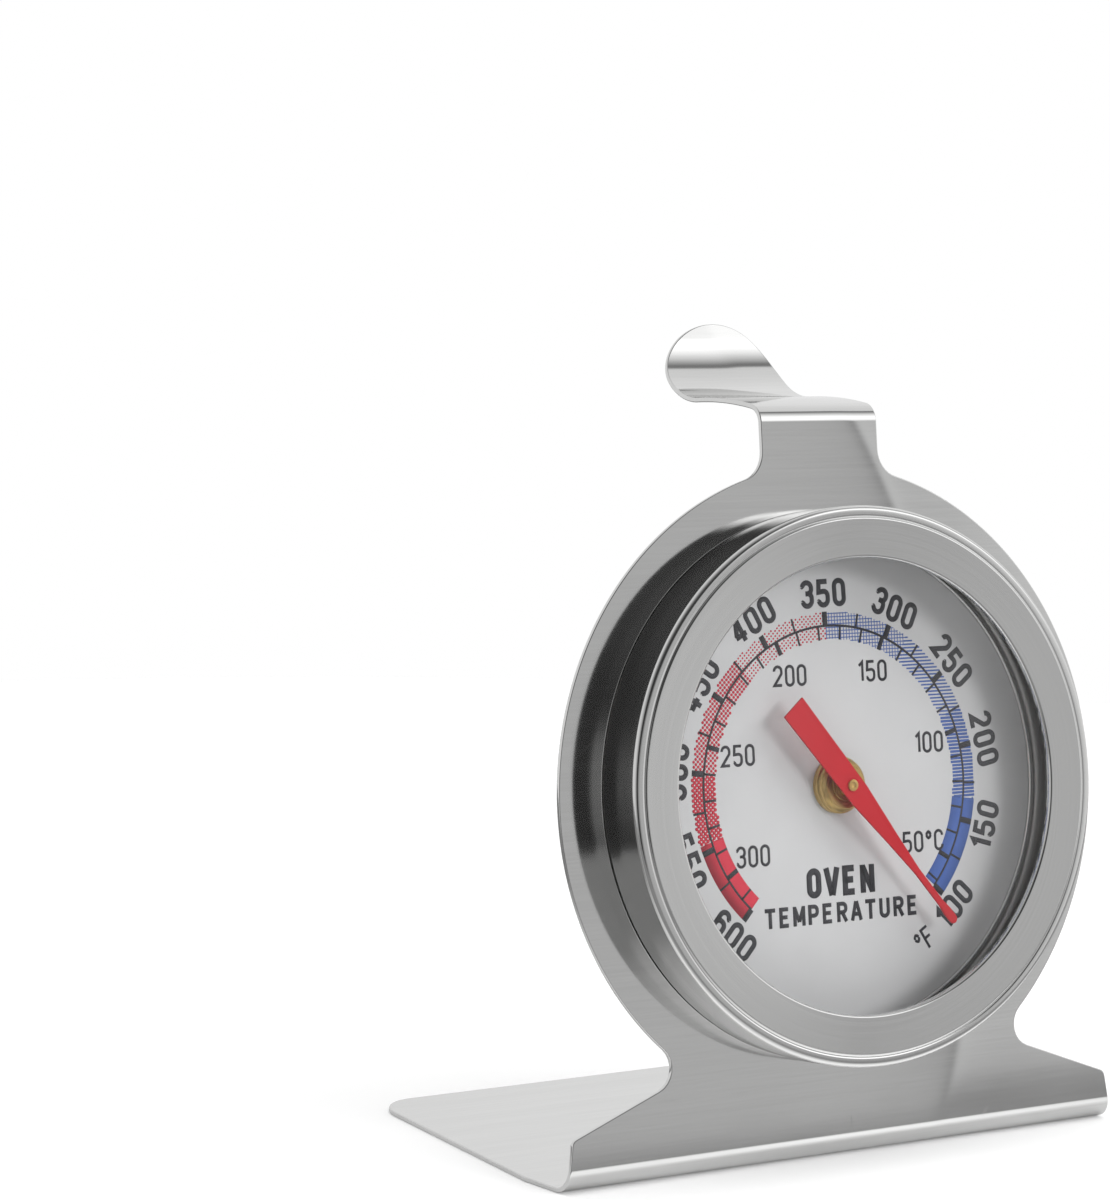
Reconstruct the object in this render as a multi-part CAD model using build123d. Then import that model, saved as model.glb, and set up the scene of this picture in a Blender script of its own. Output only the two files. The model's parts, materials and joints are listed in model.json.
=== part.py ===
from build123d import *
import os
from math import atan2, cos, degrees, pi, radians, sin, tan

# Oven thermometer: a bimetal dial in a drawn steel case, carried by a stamped stand
# that is bent into a foot below and a rack hook above. Millimetres.
# Origin: the middle of the foot's underside. +X to the right of the dial, +Y back, +Z up.

# ---- stand: one strip of sheet, bent at the foot and at the hook ----
sheet = 0.5
lean = 8.5                      # degrees that the plate leans back
foot_depth = 38.1               # from the plate's line to the foot's back edge
foot_half_width = 35.3
foot_corner_radius = 4.2
foot_taper_length = 7.0         # the foot reaches its full width this far back
foot_bend_radius = 2.3          # on the outside of the bend
plate_top = 75.8                # where the hook's bend starts, along the plate
disc_radius = 33.4
disc_centre = 38.0              # along the plate, from the foot's underside
neck_half_width = 7.3
neck_fillet = 3.0
neck_split = 74.0               # the plate's outline ends here, on the neck
flare_half_width = 33.6
flare_height = 5.45             # of the plate's lower corners
flare_slope = 20.4              # degrees
flare_corner_radius = 0.8
skirt_half_width = 34.5         # at the bottom of the bend
waist_fillet = 2.4
hook_bend_radius = 2.1
hook_rise = 5.0                 # degrees that the flap still climbs after the bend
flap_radius, flap_turn = 52.0, 11.0
curl_radius, curl_turn = 7.5, 95.0
curl_mask_tilt = 61.0           # direction in which the round end is cut

# ---- dial head: radii, and heights in front of the plate's front face ----
head_centre = 38.4              # along the plate
case_sheet = 0.4
case_radius = 28.1
case_rim = 4.0
well_radius = 25.9              # of the case where it passes the plate
ledge_height = -0.9             # the dial rests on it
rear_radius = 23.9
rear_height = -6.3
rear_fillet = 1.0
plate_hole_radius = 26.0
vent_count, vent_radius, vent_circle, vent_start = 8, 1.5, 14.0, 22.5
rivet_count, rivet_radius, rivet_circle = 4, 0.5, 26.85
rivet_head_radius = 0.8
fit_gap = 0.04                  # between a fastener and its hole

bezel_radius = 28.5
bezel_foot = 0.3
bezel_face = 6.38
bead_radius = 0.45
bead_top = 6.1
window_radius = 23.2
window_round = 0.3
face_outer_radius = 26.8
groove_radius = 27.6
glass_radius, glass_thickness = 27.9, 1.4
gasket_inner, gasket_outer = 24.2, 26.7

dial_radius, dial_thickness = 25.4, 0.4
snap_wire_radius, snap_ring_radius, snap_gap = 0.3, 25.15, 16.0

# ---- movement, on the dial's axis ----
bush_flange_radius, bush_flange_top = 2.75, 1.1
bush_step_radius, bush_step = 2.95, 0.25
bush_chamfer = 0.35
bush_shank_radius, bush_end = 1.5, -2.9
running_clearance = 0.05
spindle_radius, spindle_front, spindle_rear = 0.55, 2.55, -5.3
bush_washer_radius, bush_washer_thickness = 3.1, 0.3
nut_across_flats, nut_thickness = 4.6, 1.2
thrust_washer_radius, thrust_washer_thickness = 1.6, 0.15
boss_radius, boss_start, boss_end = 1.15, 1.37, 2.1
clip_radius, clip_thickness, clip_start = 1.35, 0.3, -3.35
collet_radius, collet_front, collet_rear = 1.2, -3.65, -5.15

# pointer, along its length from the spindle
pointer_angle = 140.5           # degrees clockwise from the top of the dial, at rest
pointer_thickness = 0.25
tail_length, tail_half_width = 10.8, 1.5
shoulder_at, shoulder_half_width = 1.4, 1.3
blade_root_at, blade_root_half_width = 7.6, 0.72
blade_half_width = 0.36
blade_root_end = 12.2
spade_at, spade_half_width = 16.8, 0.5
pointer_length = 19.5

# bimetal coil and its anchor
strip_thickness = 0.3
coil_inner, coil_outer, coil_turns = 1.65, 9.6, 6
coil_front, coil_rear = -3.6, -5.2
anchor_angle = 90.0             # degrees from +X, where the coil ends
anchor_width, anchor_sheet, anchor_foot_length = 3.0, 0.5, 4.6
anchor_rivet_radius, anchor_rivet_head = 0.45, 0.8
anchor_shift = -1.2             # the anchor sits this far before the strip's end
end_rivet_radius, end_rivet_head = 0.3, 0.55

case_floor = rear_height + case_sheet
anchor_start = coil_outer + strip_thickness
anchor_rivet_at = anchor_start + anchor_foot_length * 0.6

os.makedirs("parts", exist_ok=True)

front_line = -foot_depth / 2    # y where the plate's front face would meet the ground
plate_plane = Plane(
    origin=(0, front_line, 0),
    x_dir=(1, 0, 0),
    z_dir=(0, -cos(radians(lean)), sin(radians(lean))),
)
head_plane = plate_plane.shift_origin(plate_plane.from_local_coords((0, head_centre, 0)))


def save(name, solid):
    """Write one sub-part under its node name."""
    solid.label = name
    export_step(solid, f"parts/{name}.step")


def on_head(solid):
    """Place a solid made about +Z, with heights measured from the plate's front face."""
    return head_plane.location * solid


def turned(points):
    """A solid of revolution from (radius, height) points."""
    return revolve(Plane.XZ * make_face(Polyline(points, close=True)), Axis.Z)


def ring(outer, inner, low, high):
    """A flat ring or, with no inner radius, a disc."""
    return turned([(inner, low), (outer, low), (outer, high), (inner, high)])


def around(count, radius, solid, start=45.0):
    """Copies of a solid, evenly spaced on a circle."""
    return [Rot(0, 0, start + 360 / count * i) * Pos(radius, 0, 0) * solid for i in range(count)]


# ---------------------------------------------------------------- stand
def bent_path(start, heading, steps, shift):
    """The edge of a bent sheet: straight runs joined by arcs. shift moves it to the sheet's other face."""
    edges = []
    point, direction = Vector(*start), Vector(1, 0).rotate(Axis.Z, heading)
    for run, radius, turn in steps:
        if run:
            edges.append(Line(point, point + direction * run))
            point = edges[-1] @ 1
        radius += shift if turn > 0 else -shift
        edges.append(JernArc(start=point, tangent=direction, radius=radius, arc_size=turn))
        point, direction = edges[-1] @ 1, edges[-1] % 1
    return edges


def make_strip():
    """The whole strip seen from the side, from the foot's back edge to the hook's tip."""
    foot_turn = 90 + lean
    bend_run = foot_bend_radius * tan(radians(foot_turn / 2))
    steps = [
        (foot_depth - bend_run, foot_bend_radius, -foot_turn),
        (plate_top - bend_run, hook_bend_radius, -(90 - lean - hook_rise)),
        (0, flap_radius, -flap_turn),
        (0, curl_radius, curl_turn),
    ]
    back = front_line + foot_depth
    outside = bent_path((back, 0), 180, steps, 0)
    inside = bent_path((back, sheet), 180, steps, sheet)
    ends = [Line(outside[0] @ 0, inside[0] @ 0), Line(outside[-1] @ 1, inside[-1] @ 1)]
    side = Plane.YZ * make_face(outside + inside + ends)
    tip = Plane.YZ.from_local_coords(outside[-1] @ 1)
    return extrude(side, foot_half_width + 5, both=True), tip


def plate_outline():
    """The plate seen square on: disc, neck, waist and flared foot, each joined by a tangent arc."""
    slope = radians(flare_slope)
    corner = Vector(flare_half_width, flare_height)
    middle = Vector(0, disc_centre)
    # waist: the fillet's centre is one radius above the flare line and touches the disc from outside
    along, upward = Vector(-cos(slope), sin(slope)), Vector(sin(slope), cos(slope))
    offset = corner + upward * waist_fillet - middle
    reach = disc_radius + waist_fillet
    half = offset.dot(along)
    run = -half - (half**2 - offset.length**2 + reach**2) ** 0.5
    waist = middle + offset + along * run
    on_flare = waist - upward * waist_fillet
    waist_angle = degrees(atan2(waist.Y - disc_centre, waist.X))
    # neck: the fillet's centre is one radius outside the neck
    neck = Vector(neck_half_width + neck_fillet, 0)
    neck += Vector(0, disc_centre + ((disc_radius + neck_fillet) ** 2 - neck.X**2) ** 0.5)
    neck_angle = degrees(atan2(neck.Y - disc_centre, neck.X))
    lower = FilletPolyline((skirt_half_width, -1), corner, on_flare, radius=flare_corner_radius)
    waist_arc = CenterArc(waist, waist_fillet, 270 - flare_slope, waist_angle - 90 + flare_slope)
    disc_arc = CenterArc(middle, disc_radius, waist_angle, neck_angle - waist_angle)
    neck_arc = CenterArc(neck, neck_fillet, 180, neck_angle)
    neck_line = Line((neck_half_width, neck.Y), (neck_half_width, neck_split))
    right = [lower, waist_arc, disc_arc, neck_arc, neck_line]
    left = [edge.mirror(Plane.YZ) for edge in right]
    top = Line((neck_half_width, neck_split), (-neck_half_width, neck_split))
    bottom = Line((skirt_half_width, -1), (-skirt_half_width, -1))
    return make_face(right + left + [top, bottom])


def make_stand():
    """One stamped sheet: foot, plate with the case's opening, neck and rack hook."""
    strip, tip = make_strip()
    behind = 3.2
    front_cut = plate_plane.offset(-behind).location * extrude(plate_outline(), behind + 1)
    start = front_line + 2.6
    foot_back = front_line + foot_depth
    foot = Polygon(
        (skirt_half_width, start),
        (foot_half_width, front_line + foot_taper_length),
        (foot_half_width, foot_back),
        (-foot_half_width, foot_back),
        (-foot_half_width, front_line + foot_taper_length),
        (-skirt_half_width, start),
        align=None,
    )
    foot = fillet(foot.vertices().group_by(Axis.Y)[-1], foot_corner_radius)
    foot_cut = Pos(0, 0, -1) * extrude(foot, 2.2)
    tilt = radians(curl_mask_tilt)
    end_plane = Plane(origin=tip, x_dir=(1, 0, 0), z_dir=(0, -sin(tilt), cos(tilt)))
    end = Pos(0, -neck_half_width) * Circle(neck_half_width)
    end += Pos(0, -neck_half_width - 20) * Rectangle(2 * neck_half_width, 40)
    hook_cut = end_plane.location * extrude(end, 60, both=True)
    above = plate_plane.location * Pos(0, neck_split + 30, 0) * Box(100, 60, 100)
    stand = (strip & front_cut) + (strip & foot_cut) + (strip & hook_cut & above)
    rivet_hole = Cylinder(rivet_radius + fit_gap, 4)
    for hole in [Cylinder(plate_hole_radius, 4)] + around(rivet_count, rivet_circle, rivet_hole):
        stand -= on_head(hole)
    return stand


# ---------------------------------------------------------------- dial head
def make_case():
    """Drawn cup: rim, shoulder on the plate, ledge for the dial, and a vented rear well."""
    t = case_sheet
    outer = [
        (case_radius, case_rim),
        (case_radius, 0),
        (well_radius, 0),
        (well_radius, ledge_height - t),
        (rear_radius, ledge_height - t),
        (rear_radius, rear_height),
        (0, rear_height),
    ]
    inner = [
        (0, rear_height + t),
        (rear_radius - t, rear_height + t),
        (rear_radius - t, ledge_height),
        (well_radius - t, ledge_height),
        (well_radius - t, t),
        (case_radius - t, t),
        (case_radius - t, case_rim),
    ]
    section = make_face(Polyline(outer + inner, close=True))
    low_corners = section.vertices().filter_by(lambda v: v.X > 1 and v.Y < rear_height + 2 * t)
    outer_corner = low_corners.sort_by(Axis.X)[-1]
    section = fillet(outer_corner, rear_fillet)
    on_bore = section.vertices().filter_by(lambda v: abs(v.X - rear_radius + t) < 0.01)
    inner_corner = on_bore.sort_by(Axis.Y)[0]
    section = fillet(inner_corner, rear_fillet - t)
    case = revolve(Plane.XZ * section, Axis.Z)
    vent = Pos(0, 0, rear_height) * Cylinder(vent_radius, 2)
    for hole in around(vent_count, vent_circle, vent, start=vent_start):
        case -= hole
    for hole in around(rivet_count, rivet_circle, Cylinder(rivet_radius + fit_gap, 2)):
        case -= hole
    return case - at_anchor(anchor_rivet_at, Cylinder(anchor_rivet_radius + fit_gap, 2), rear_height)


def make_bezel():
    """Rolled ring: wall, bead, groove, raised face and turned-in window edge."""
    t = case_sheet
    wall = Polyline(
        [
            (bezel_radius - t, bezel_foot),
            (bezel_radius, bezel_foot),
            (bezel_radius, bead_top - bead_radius),
        ]
    )
    bead = JernArc(start=wall @ 1, tangent=(0, 1), radius=bead_radius, arc_size=150)
    face_line = Polyline(
        [
            bead @ 1,
            (groove_radius, bead_top - 0.2),
            (face_outer_radius, bezel_face),
            (window_radius + window_round, bezel_face),
        ]
    )
    edge = JernArc(start=face_line @ 1, tangent=(-1, 0), radius=window_round, arc_size=90)
    inside = Polyline(
        [
            edge @ 1,
            (window_radius, bezel_face - 0.7),
            (window_radius + t, bezel_face - 0.7),
            (window_radius + t, bezel_face - t),
            (face_outer_radius, bezel_face - t),
            (groove_radius, bead_top - 0.5),
            (bezel_radius - t, bead_top - 0.5),
            (bezel_radius - t, bezel_foot),
        ]
    )
    return revolve(Plane.XZ * make_face([wall, bead, face_line, edge, inside]), Axis.Z)


def make_snap_ring():
    """Open ring of spring wire that holds the dial on its ledge."""
    centre = ledge_height + dial_thickness + snap_wire_radius
    section = Plane.XZ * Pos(snap_ring_radius, centre) * Circle(snap_wire_radius)
    return Rot(0, 0, -90 + snap_gap / 2) * revolve(section, Axis.Z, 360 - snap_gap)


# ---------------------------------------------------------------- movement
def make_bush():
    """Brass bush: stepped flange in front of the dial, shank through it, bore for the spindle."""
    bore = spindle_radius + running_clearance
    front = ledge_height + dial_thickness
    return turned(
        [
            (bore, bush_end),
            (bush_shank_radius, bush_end),
            (bush_shank_radius, front),
            (bush_step_radius, front),
            (bush_step_radius, bush_step),
            (bush_flange_radius, bush_step),
            (bush_flange_radius, bush_flange_top - bush_chamfer),
            (bush_flange_radius - bush_chamfer, bush_flange_top),
            (bore, bush_flange_top),
        ]
    )


def make_nut():
    """Hexagon nut behind the dial."""
    top = ledge_height - bush_washer_thickness
    body = RegularPolygon(nut_across_flats / 2, 6, major_radius=False) - Circle(bush_shank_radius + fit_gap)
    return Pos(0, 0, top - nut_thickness) * extrude(body, nut_thickness)


def make_pointer():
    """Flat red pointer: square tail, shoulder, tapering blade and a small spade tip."""
    tip_centre = pointer_length - spade_half_width
    right = [
        (-tail_length, -tail_half_width),
        (shoulder_at, -shoulder_half_width),
        (blade_root_at, -blade_root_half_width),
        (blade_root_end, -blade_half_width),
        (spade_at, -blade_half_width),
        (spade_at + 1.0, -spade_half_width),
        (tip_centre, -spade_half_width),
    ]
    left = [(x, -y) for x, y in reversed(right)]
    outline = Polygon(*right, *left, align=None) + Pos(tip_centre, 0) * Circle(spade_half_width)
    outline -= Circle(spindle_radius)
    return Rot(0, 0, 90 - pointer_angle) * Pos(0, 0, boss_end) * extrude(outline, pointer_thickness)


def make_clip():
    """Open retaining clip on the spindle, behind the bush."""
    body = Circle(clip_radius) - Circle(spindle_radius)
    body -= Pos(clip_radius, 0) * Rectangle(2 * clip_radius, 0.7)
    return Pos(0, 0, clip_start) * extrude(body, clip_thickness)


def spiral(radius_shift, points=97):
    """Archimedean spiral through evenly spaced turns, ending at the anchor."""
    total = 2 * pi * coil_turns
    end = radians(anchor_angle)
    result = []
    for i in range(points):
        turned_by = total * i / (points - 1)
        radius = coil_inner + (coil_outer - coil_inner) * turned_by / total + radius_shift
        angle = end - total + turned_by
        result.append((radius * cos(angle), radius * sin(angle)))
    return Spline(result)


def at_anchor(x, solid, height=0.0):
    """Place a solid on the anchor's radial line, x from the dial's axis, across the strip's end."""
    return Rot(0, 0, anchor_angle) * Pos(x, anchor_shift, height) * solid


def end_rivet_line(length):
    """A radial cylinder through the coil's outer end and the anchor's upright."""
    rivet = Rot(0, 90, 0) * Cylinder(end_rivet_radius + fit_gap, length)
    return at_anchor(coil_outer + strip_thickness, rivet, (coil_front + coil_rear) / 2)


def make_coil():
    """Bimetal strip wound into a flat spiral; it turns the spindle as it warms."""
    inside, outside = spiral(0), spiral(strip_thickness)
    ends = [Line(inside @ 0, outside @ 0), Line(inside @ 1, outside @ 1)]
    strip = make_face([inside, outside] + ends)
    coil = Pos(0, 0, coil_rear) * extrude(strip, coil_front - coil_rear)
    return coil - end_rivet_line(3 * strip_thickness)


def make_anchor():
    """Angle bracket: foot on the case's rear wall, upright that holds the coil's outer end."""
    corner = (Align.MIN, Align.CENTER, Align.MIN)
    upright = Box(anchor_sheet, anchor_width, coil_front - case_floor, align=corner)
    foot = Box(anchor_foot_length, anchor_width, anchor_sheet, align=corner)
    anchor = at_anchor(anchor_start, upright + foot, case_floor)
    anchor -= end_rivet_line(4)
    return anchor - at_anchor(anchor_rivet_at, Cylinder(anchor_rivet_radius + fit_gap, 4), case_floor)


def make_anchor_rivet():
    """Rivet that holds the anchor's foot to the case's rear wall."""
    top = case_floor + anchor_sheet
    rivet = make_rivet(anchor_rivet_radius, anchor_rivet_head, rear_height, top)
    return at_anchor(anchor_rivet_at, rivet)


def make_end_rivet():
    """Small radial rivet that joins the coil's outer end to the anchor."""
    inner, outer = coil_outer - 0.2, anchor_start + anchor_sheet
    rivet = make_rivet(end_rivet_radius, end_rivet_head, 0, outer - inner)
    return at_anchor(inner, Rot(0, 90, 0) * rivet, (coil_front + coil_rear) / 2)


def make_rivet(radius, head, low, high):
    """A rivet about +Z between two faces, with a low rounded head on each."""
    crown = [(head, 0), (head * 0.85, head * 0.25), (head * 0.5, head * 0.4), (0, head * 0.4)]
    top = [(x, high + y) for x, y in crown]
    bottom = [(x, low - y) for x, y in reversed(crown)]
    return turned(bottom + [(radius, low), (radius, high)] + top)


# ---------------------------------------------------------------- write the parts
case_rivet = make_rivet(rivet_radius, rivet_head_radius, -sheet, case_sheet)
glass_top = case_rim + glass_thickness

save("stand_bracket", make_stand())
head_parts = {
    "case_cup": make_case(),
    "bezel_ring": make_bezel(),
    "lens_glass": ring(glass_radius, 0, case_rim, glass_top),
    "lens_gasket": ring(gasket_outer, gasket_inner, glass_top, bezel_face - case_sheet),
    "dial_plate": ring(dial_radius, bush_shank_radius + fit_gap, ledge_height, ledge_height + dial_thickness),
    "dial_snap_ring": make_snap_ring(),
    "hub_bush": make_bush(),
    "bush_washer": ring(
        bush_washer_radius,
        bush_shank_radius + fit_gap,
        ledge_height - bush_washer_thickness,
        ledge_height,
    ),
    "bush_nut": make_nut(),
    "thrust_washer": ring(
        thrust_washer_radius,
        spindle_radius + running_clearance,
        bush_flange_top,
        bush_flange_top + thrust_washer_thickness,
    ),
    "spindle": ring(spindle_radius, 0, spindle_rear, spindle_front),
    "pointer_boss": ring(boss_radius, spindle_radius, boss_start, boss_end),
    "pointer": make_pointer(),
    "spindle_clip": make_clip(),
    "coil_collet": ring(collet_radius, spindle_radius, collet_rear, collet_front),
    "bimetal_coil": make_coil(),
    "coil_anchor": make_anchor(),
    "anchor_rivet": make_anchor_rivet(),
    "coil_end_rivet": make_end_rivet(),
}
for name, solid in head_parts.items():
    save(name, on_head(solid))
rivets = around(rivet_count, rivet_circle, case_rivet)
save("case_rivets", Compound([on_head(rivet).solid() for rivet in rivets]))
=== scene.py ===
import json
import math

import bmesh
import bpy
import numpy as np
from mathutils import Matrix, Vector


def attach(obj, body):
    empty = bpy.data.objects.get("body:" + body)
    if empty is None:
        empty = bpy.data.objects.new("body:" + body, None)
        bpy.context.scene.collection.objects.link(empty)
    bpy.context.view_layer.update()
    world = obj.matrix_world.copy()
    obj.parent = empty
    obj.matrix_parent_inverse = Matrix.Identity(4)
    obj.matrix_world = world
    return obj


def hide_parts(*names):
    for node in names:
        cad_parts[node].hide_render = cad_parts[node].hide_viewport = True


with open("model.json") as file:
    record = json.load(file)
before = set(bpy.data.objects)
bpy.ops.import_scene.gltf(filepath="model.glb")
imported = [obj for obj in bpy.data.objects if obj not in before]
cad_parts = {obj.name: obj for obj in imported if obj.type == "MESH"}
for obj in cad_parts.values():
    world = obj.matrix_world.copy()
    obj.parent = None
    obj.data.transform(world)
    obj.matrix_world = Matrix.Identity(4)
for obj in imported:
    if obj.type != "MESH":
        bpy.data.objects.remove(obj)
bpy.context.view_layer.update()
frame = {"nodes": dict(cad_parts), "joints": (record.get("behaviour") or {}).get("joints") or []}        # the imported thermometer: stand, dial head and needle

# Sizes below are in millimetres and degrees. The head frame has x to the right of the dial, y up it
# and h straight out of it, with h = 0 on the front face of the stand's plate.
mm = 0.001
turnJoint = frame["joints"][0]
headCentre = np.array(turnJoint["pos_m"])
outward = np.array(turnJoint["axis"])
sideways = np.array([1.0, 0.0, 0.0])
upDial = np.cross(outward, sideways)
lean = math.degrees(math.asin(outward[2]))
headAxes = np.array([sideways, upDial, outward])


# mesh helpers: everything is a grid of points, rows along and columns across
def onHead(points):
    # head frame to world: centre + x * sideways + y * upDial + h * outward
    return headCentre + np.asarray(points) @ headAxes * mm


def gridFaces(points, wrapAlong=False, wrapAcross=True, capStart=True, capEnd=True):
    # quads between neighbouring points; an end row that isn't wrapped is closed by a fan to its middle
    rows, columns = points.shape[:2]
    index = np.arange(rows * columns).reshape(rows, columns)
    if wrapAlong:
        index = np.vstack([index, index[:1]])
    if wrapAcross:
        index = np.hstack([index, index[:, :1]])
    quads = np.stack([index[:-1, :-1], index[:-1, 1:], index[1:, 1:], index[1:, :-1]], -1).reshape(-1, 4)
    verts = points.reshape(-1, 3)
    faces = quads.tolist()
    if not wrapAlong:
        for capped, row, flip in ((capStart, index[0], True), (capEnd, index[-1], False)):
            if not capped:
                continue
            middle = len(verts)
            verts = np.vstack([verts, points.reshape(-1, 3)[row[:-1]].mean(0)])
            fan = np.stack([row[:-1], row[1:], np.full(len(row) - 1, middle)], -1)
            faces += (fan[:, ::-1] if flip else fan).tolist()
    return verts, faces


def joined(parts):
    # several (vertices, faces) pairs as one
    verts, faces, start = [], [], 0
    for v, f in parts:
        verts.append(v)
        faces += [[i + start for i in face] for face in f]
        start += len(v)
    return np.vstack(verts), faces


def addPiece(name, parts, body, material, stands=(), weld=0.0, place=onHead):
    # one mesh object in the shared frame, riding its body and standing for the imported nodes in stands
    verts, faces = joined(parts)
    mesh = bpy.data.meshes.new(name)
    mesh.from_pydata(place(verts).tolist(), [], faces)
    work = bmesh.new()
    work.from_mesh(mesh)
    if weld:
        bmesh.ops.remove_doubles(work, verts=work.verts, dist=weld * mm)
    bmesh.ops.recalc_face_normals(work, faces=work.faces)
    work.to_mesh(mesh)
    work.free()
    mesh.shade_smooth()
    mesh.materials.append(material)
    piece = bpy.data.objects.new(name, mesh)
    bpy.context.scene.collection.objects.link(piece)
    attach(piece, body)
    if stands:
        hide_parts(*stands)
    return piece


def evenShading(piece):
    # big faces set the shading, so that flats stay flat beside their small rounded edges
    weighted = piece.modifiers.new("evenShading", "WEIGHTED_NORMAL")
    weighted.keep_sharp = True
    weighted.weight = 90
    return piece


def roundedLine(corners, closed, steps=5):
    # a polyline whose corners (a, b, radius) become arcs tangent to both of their runs
    points = []
    count = len(corners)
    for i, (a, b, radius) in enumerate(corners):
        here = np.array([a, b], float)
        atEnd = not closed and i in (0, count - 1)
        if atEnd or radius <= 0:
            points.append(here)
            continue
        before = np.array(corners[i - 1][:2], float) - here
        after = np.array(corners[(i + 1) % count][:2], float) - here
        before /= np.linalg.norm(before)
        after /= np.linalg.norm(after)
        half = math.acos(float(np.clip(before @ after, -1, 1))) / 2
        middle = (before + after) / np.linalg.norm(before + after)
        centre = here + middle * radius / math.sin(half)
        first = here + before * radius / math.tan(half) - centre
        last = here + after * radius / math.tan(half) - centre
        turn = math.atan2(first[0] * last[1] - first[1] * last[0], float(first @ last))
        for t in np.linspace(0, turn, steps + 1):
            points.append(centre + [first[0] * math.cos(t) - first[1] * math.sin(t),
                                    first[0] * math.sin(t) + first[1] * math.cos(t)])
    return np.array(points)


def turned(profile, steps=192, closed=True):
    # (profile point, turn t) -> (r cos t, r sin t, h); an open profile starts and ends near the axis
    t = np.linspace(0, 2 * math.pi, steps, endpoint=False)
    r, h = profile[:, :1], profile[:, 1:]
    points = np.stack([r * np.cos(t), r * np.sin(t), h + 0 * t], -1)
    return gridFaces(points, wrapAlong=closed)


def stroke(path, width, low, high, closed=False):
    # a flat ribbon: the path moved half a width to each side along its mitred normals, then given a thickness
    path = np.asarray(path, float)
    nextStep = np.roll(path, -1, 0) - path
    if not closed:
        nextStep[-1] = nextStep[-2]
    lastStep = np.roll(nextStep, 1, 0)
    if not closed:
        lastStep[0] = nextStep[0]
    ahead = nextStep / np.linalg.norm(nextStep, axis=1)[:, None]
    behind = lastStep / np.linalg.norm(lastStep, axis=1)[:, None]
    normals = np.stack([-(ahead + behind)[:, 1], (ahead + behind)[:, 0]], -1)
    mitre = 1 + (ahead * behind).sum(1)
    side = normals / np.maximum(mitre, 0.35)[:, None] * np.reshape(width, (-1, 1)) / 2
    left, right = path + side, path - side
    corners = [(left, low), (right, low), (right, high), (left, high)]
    points = np.stack([np.column_stack([xy, np.full(len(xy), h)]) for xy, h in corners], 1)
    return gridFaces(points, wrapAlong=closed)


def dialPoint(angle, radius):
    # angle in degrees clockwise from the top of the dial
    a = np.radians(angle)
    return np.stack(np.broadcast_arrays(radius * np.sin(a), radius * np.cos(a)), -1)


# shader nodes and the groups that the finishes share
def newGroup(name, inputs, outputs):
    # a group's inputs are {label: value}, a vector where the value is a tuple; its outputs are plain numbers
    group = bpy.data.node_groups.new(name, "ShaderNodeTree")
    for label, value in inputs.items():
        kind = "NodeSocketVector" if isinstance(value, tuple) else "NodeSocketFloat"
        group.interface.new_socket(label, in_out="INPUT", socket_type=kind).default_value = value
    for label in outputs:
        group.interface.new_socket(label, in_out="OUTPUT", socket_type="NodeSocketFloat")
    return group, group.nodes.new("NodeGroupInput"), group.nodes.new("NodeGroupOutput")


def addNode(tree, kind, inputs=None, **settings):
    # each of the node's inputs is a socket to link or a value to set
    made = tree.nodes.new(kind)
    for key, value in settings.items():
        setattr(made, key, value)
    for key, item in (inputs or {}).items():
        if isinstance(item, bpy.types.NodeSocket):
            tree.links.new(item, made.inputs[key])
        else:
            made.inputs[key].default_value = item
    return made


def addGroup(tree, group, inputs):
    return addNode(tree, "ShaderNodeGroup", inputs, node_tree=group)


def calc(tree, operation, *items):
    return addNode(tree, "ShaderNodeMath", dict(enumerate(items)), operation=operation).outputs[0]


def noise(tree, vector, scale, detail=2.0, roughness=0.5, distortion=0.0):
    return addNode(tree, "ShaderNodeTexNoise", {
        "Vector": vector, "Scale": scale, "Detail": detail, "Roughness": roughness, "Distortion": distortion,
    }).outputs["Fac"]


def remap(tree, value, fromMin, fromMax, toMin=0.0, toMax=1.0):
    # held at its ends
    return addNode(tree, "ShaderNodeMapRange", {
        "Value": value, "From Min": fromMin, "From Max": fromMax, "To Min": toMin, "To Max": toMax,
    }).outputs[0]


def blend(tree, factor, first, second):
    # each end is a socket or a plain (r, g, b)
    a, b = (item if isinstance(item, bpy.types.NodeSocket) else (*item, 1) for item in (first, second))
    made = addNode(tree, "ShaderNodeMix", {"Factor": factor, "A": a, "B": b}, data_type="RGBA")
    return made.outputs["Result"]


def makeGrainGroup():
    # rolled or turned grain: noise drawn out along one axis, in two sizes
    group, entry, leave = newGroup(
        "drawnGrain", {"Vector": (0.0, 0.0, 0.0), "Scale": 1.0, "Stretch": (1.0, 1.0, 1.0)},
        ("Height", "Mask"))
    drawn = addNode(group, "ShaderNodeVectorMath", {0: entry.outputs["Vector"], 1: entry.outputs["Stretch"]},
                    operation="MULTIPLY").outputs[0]
    fine = noise(group, drawn, entry.outputs["Scale"], 3.0, 0.6)
    coarse = noise(group, drawn, calc(group, "MULTIPLY", entry.outputs["Scale"], 0.23))
    both = calc(group, "ADD", calc(group, "MULTIPLY", fine, 0.6), calc(group, "MULTIPLY", coarse, 0.4))
    group.links.new(both, leave.inputs["Height"])
    group.links.new(remap(group, both, 0.38, 0.62), leave.inputs["Mask"])
    return group


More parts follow.
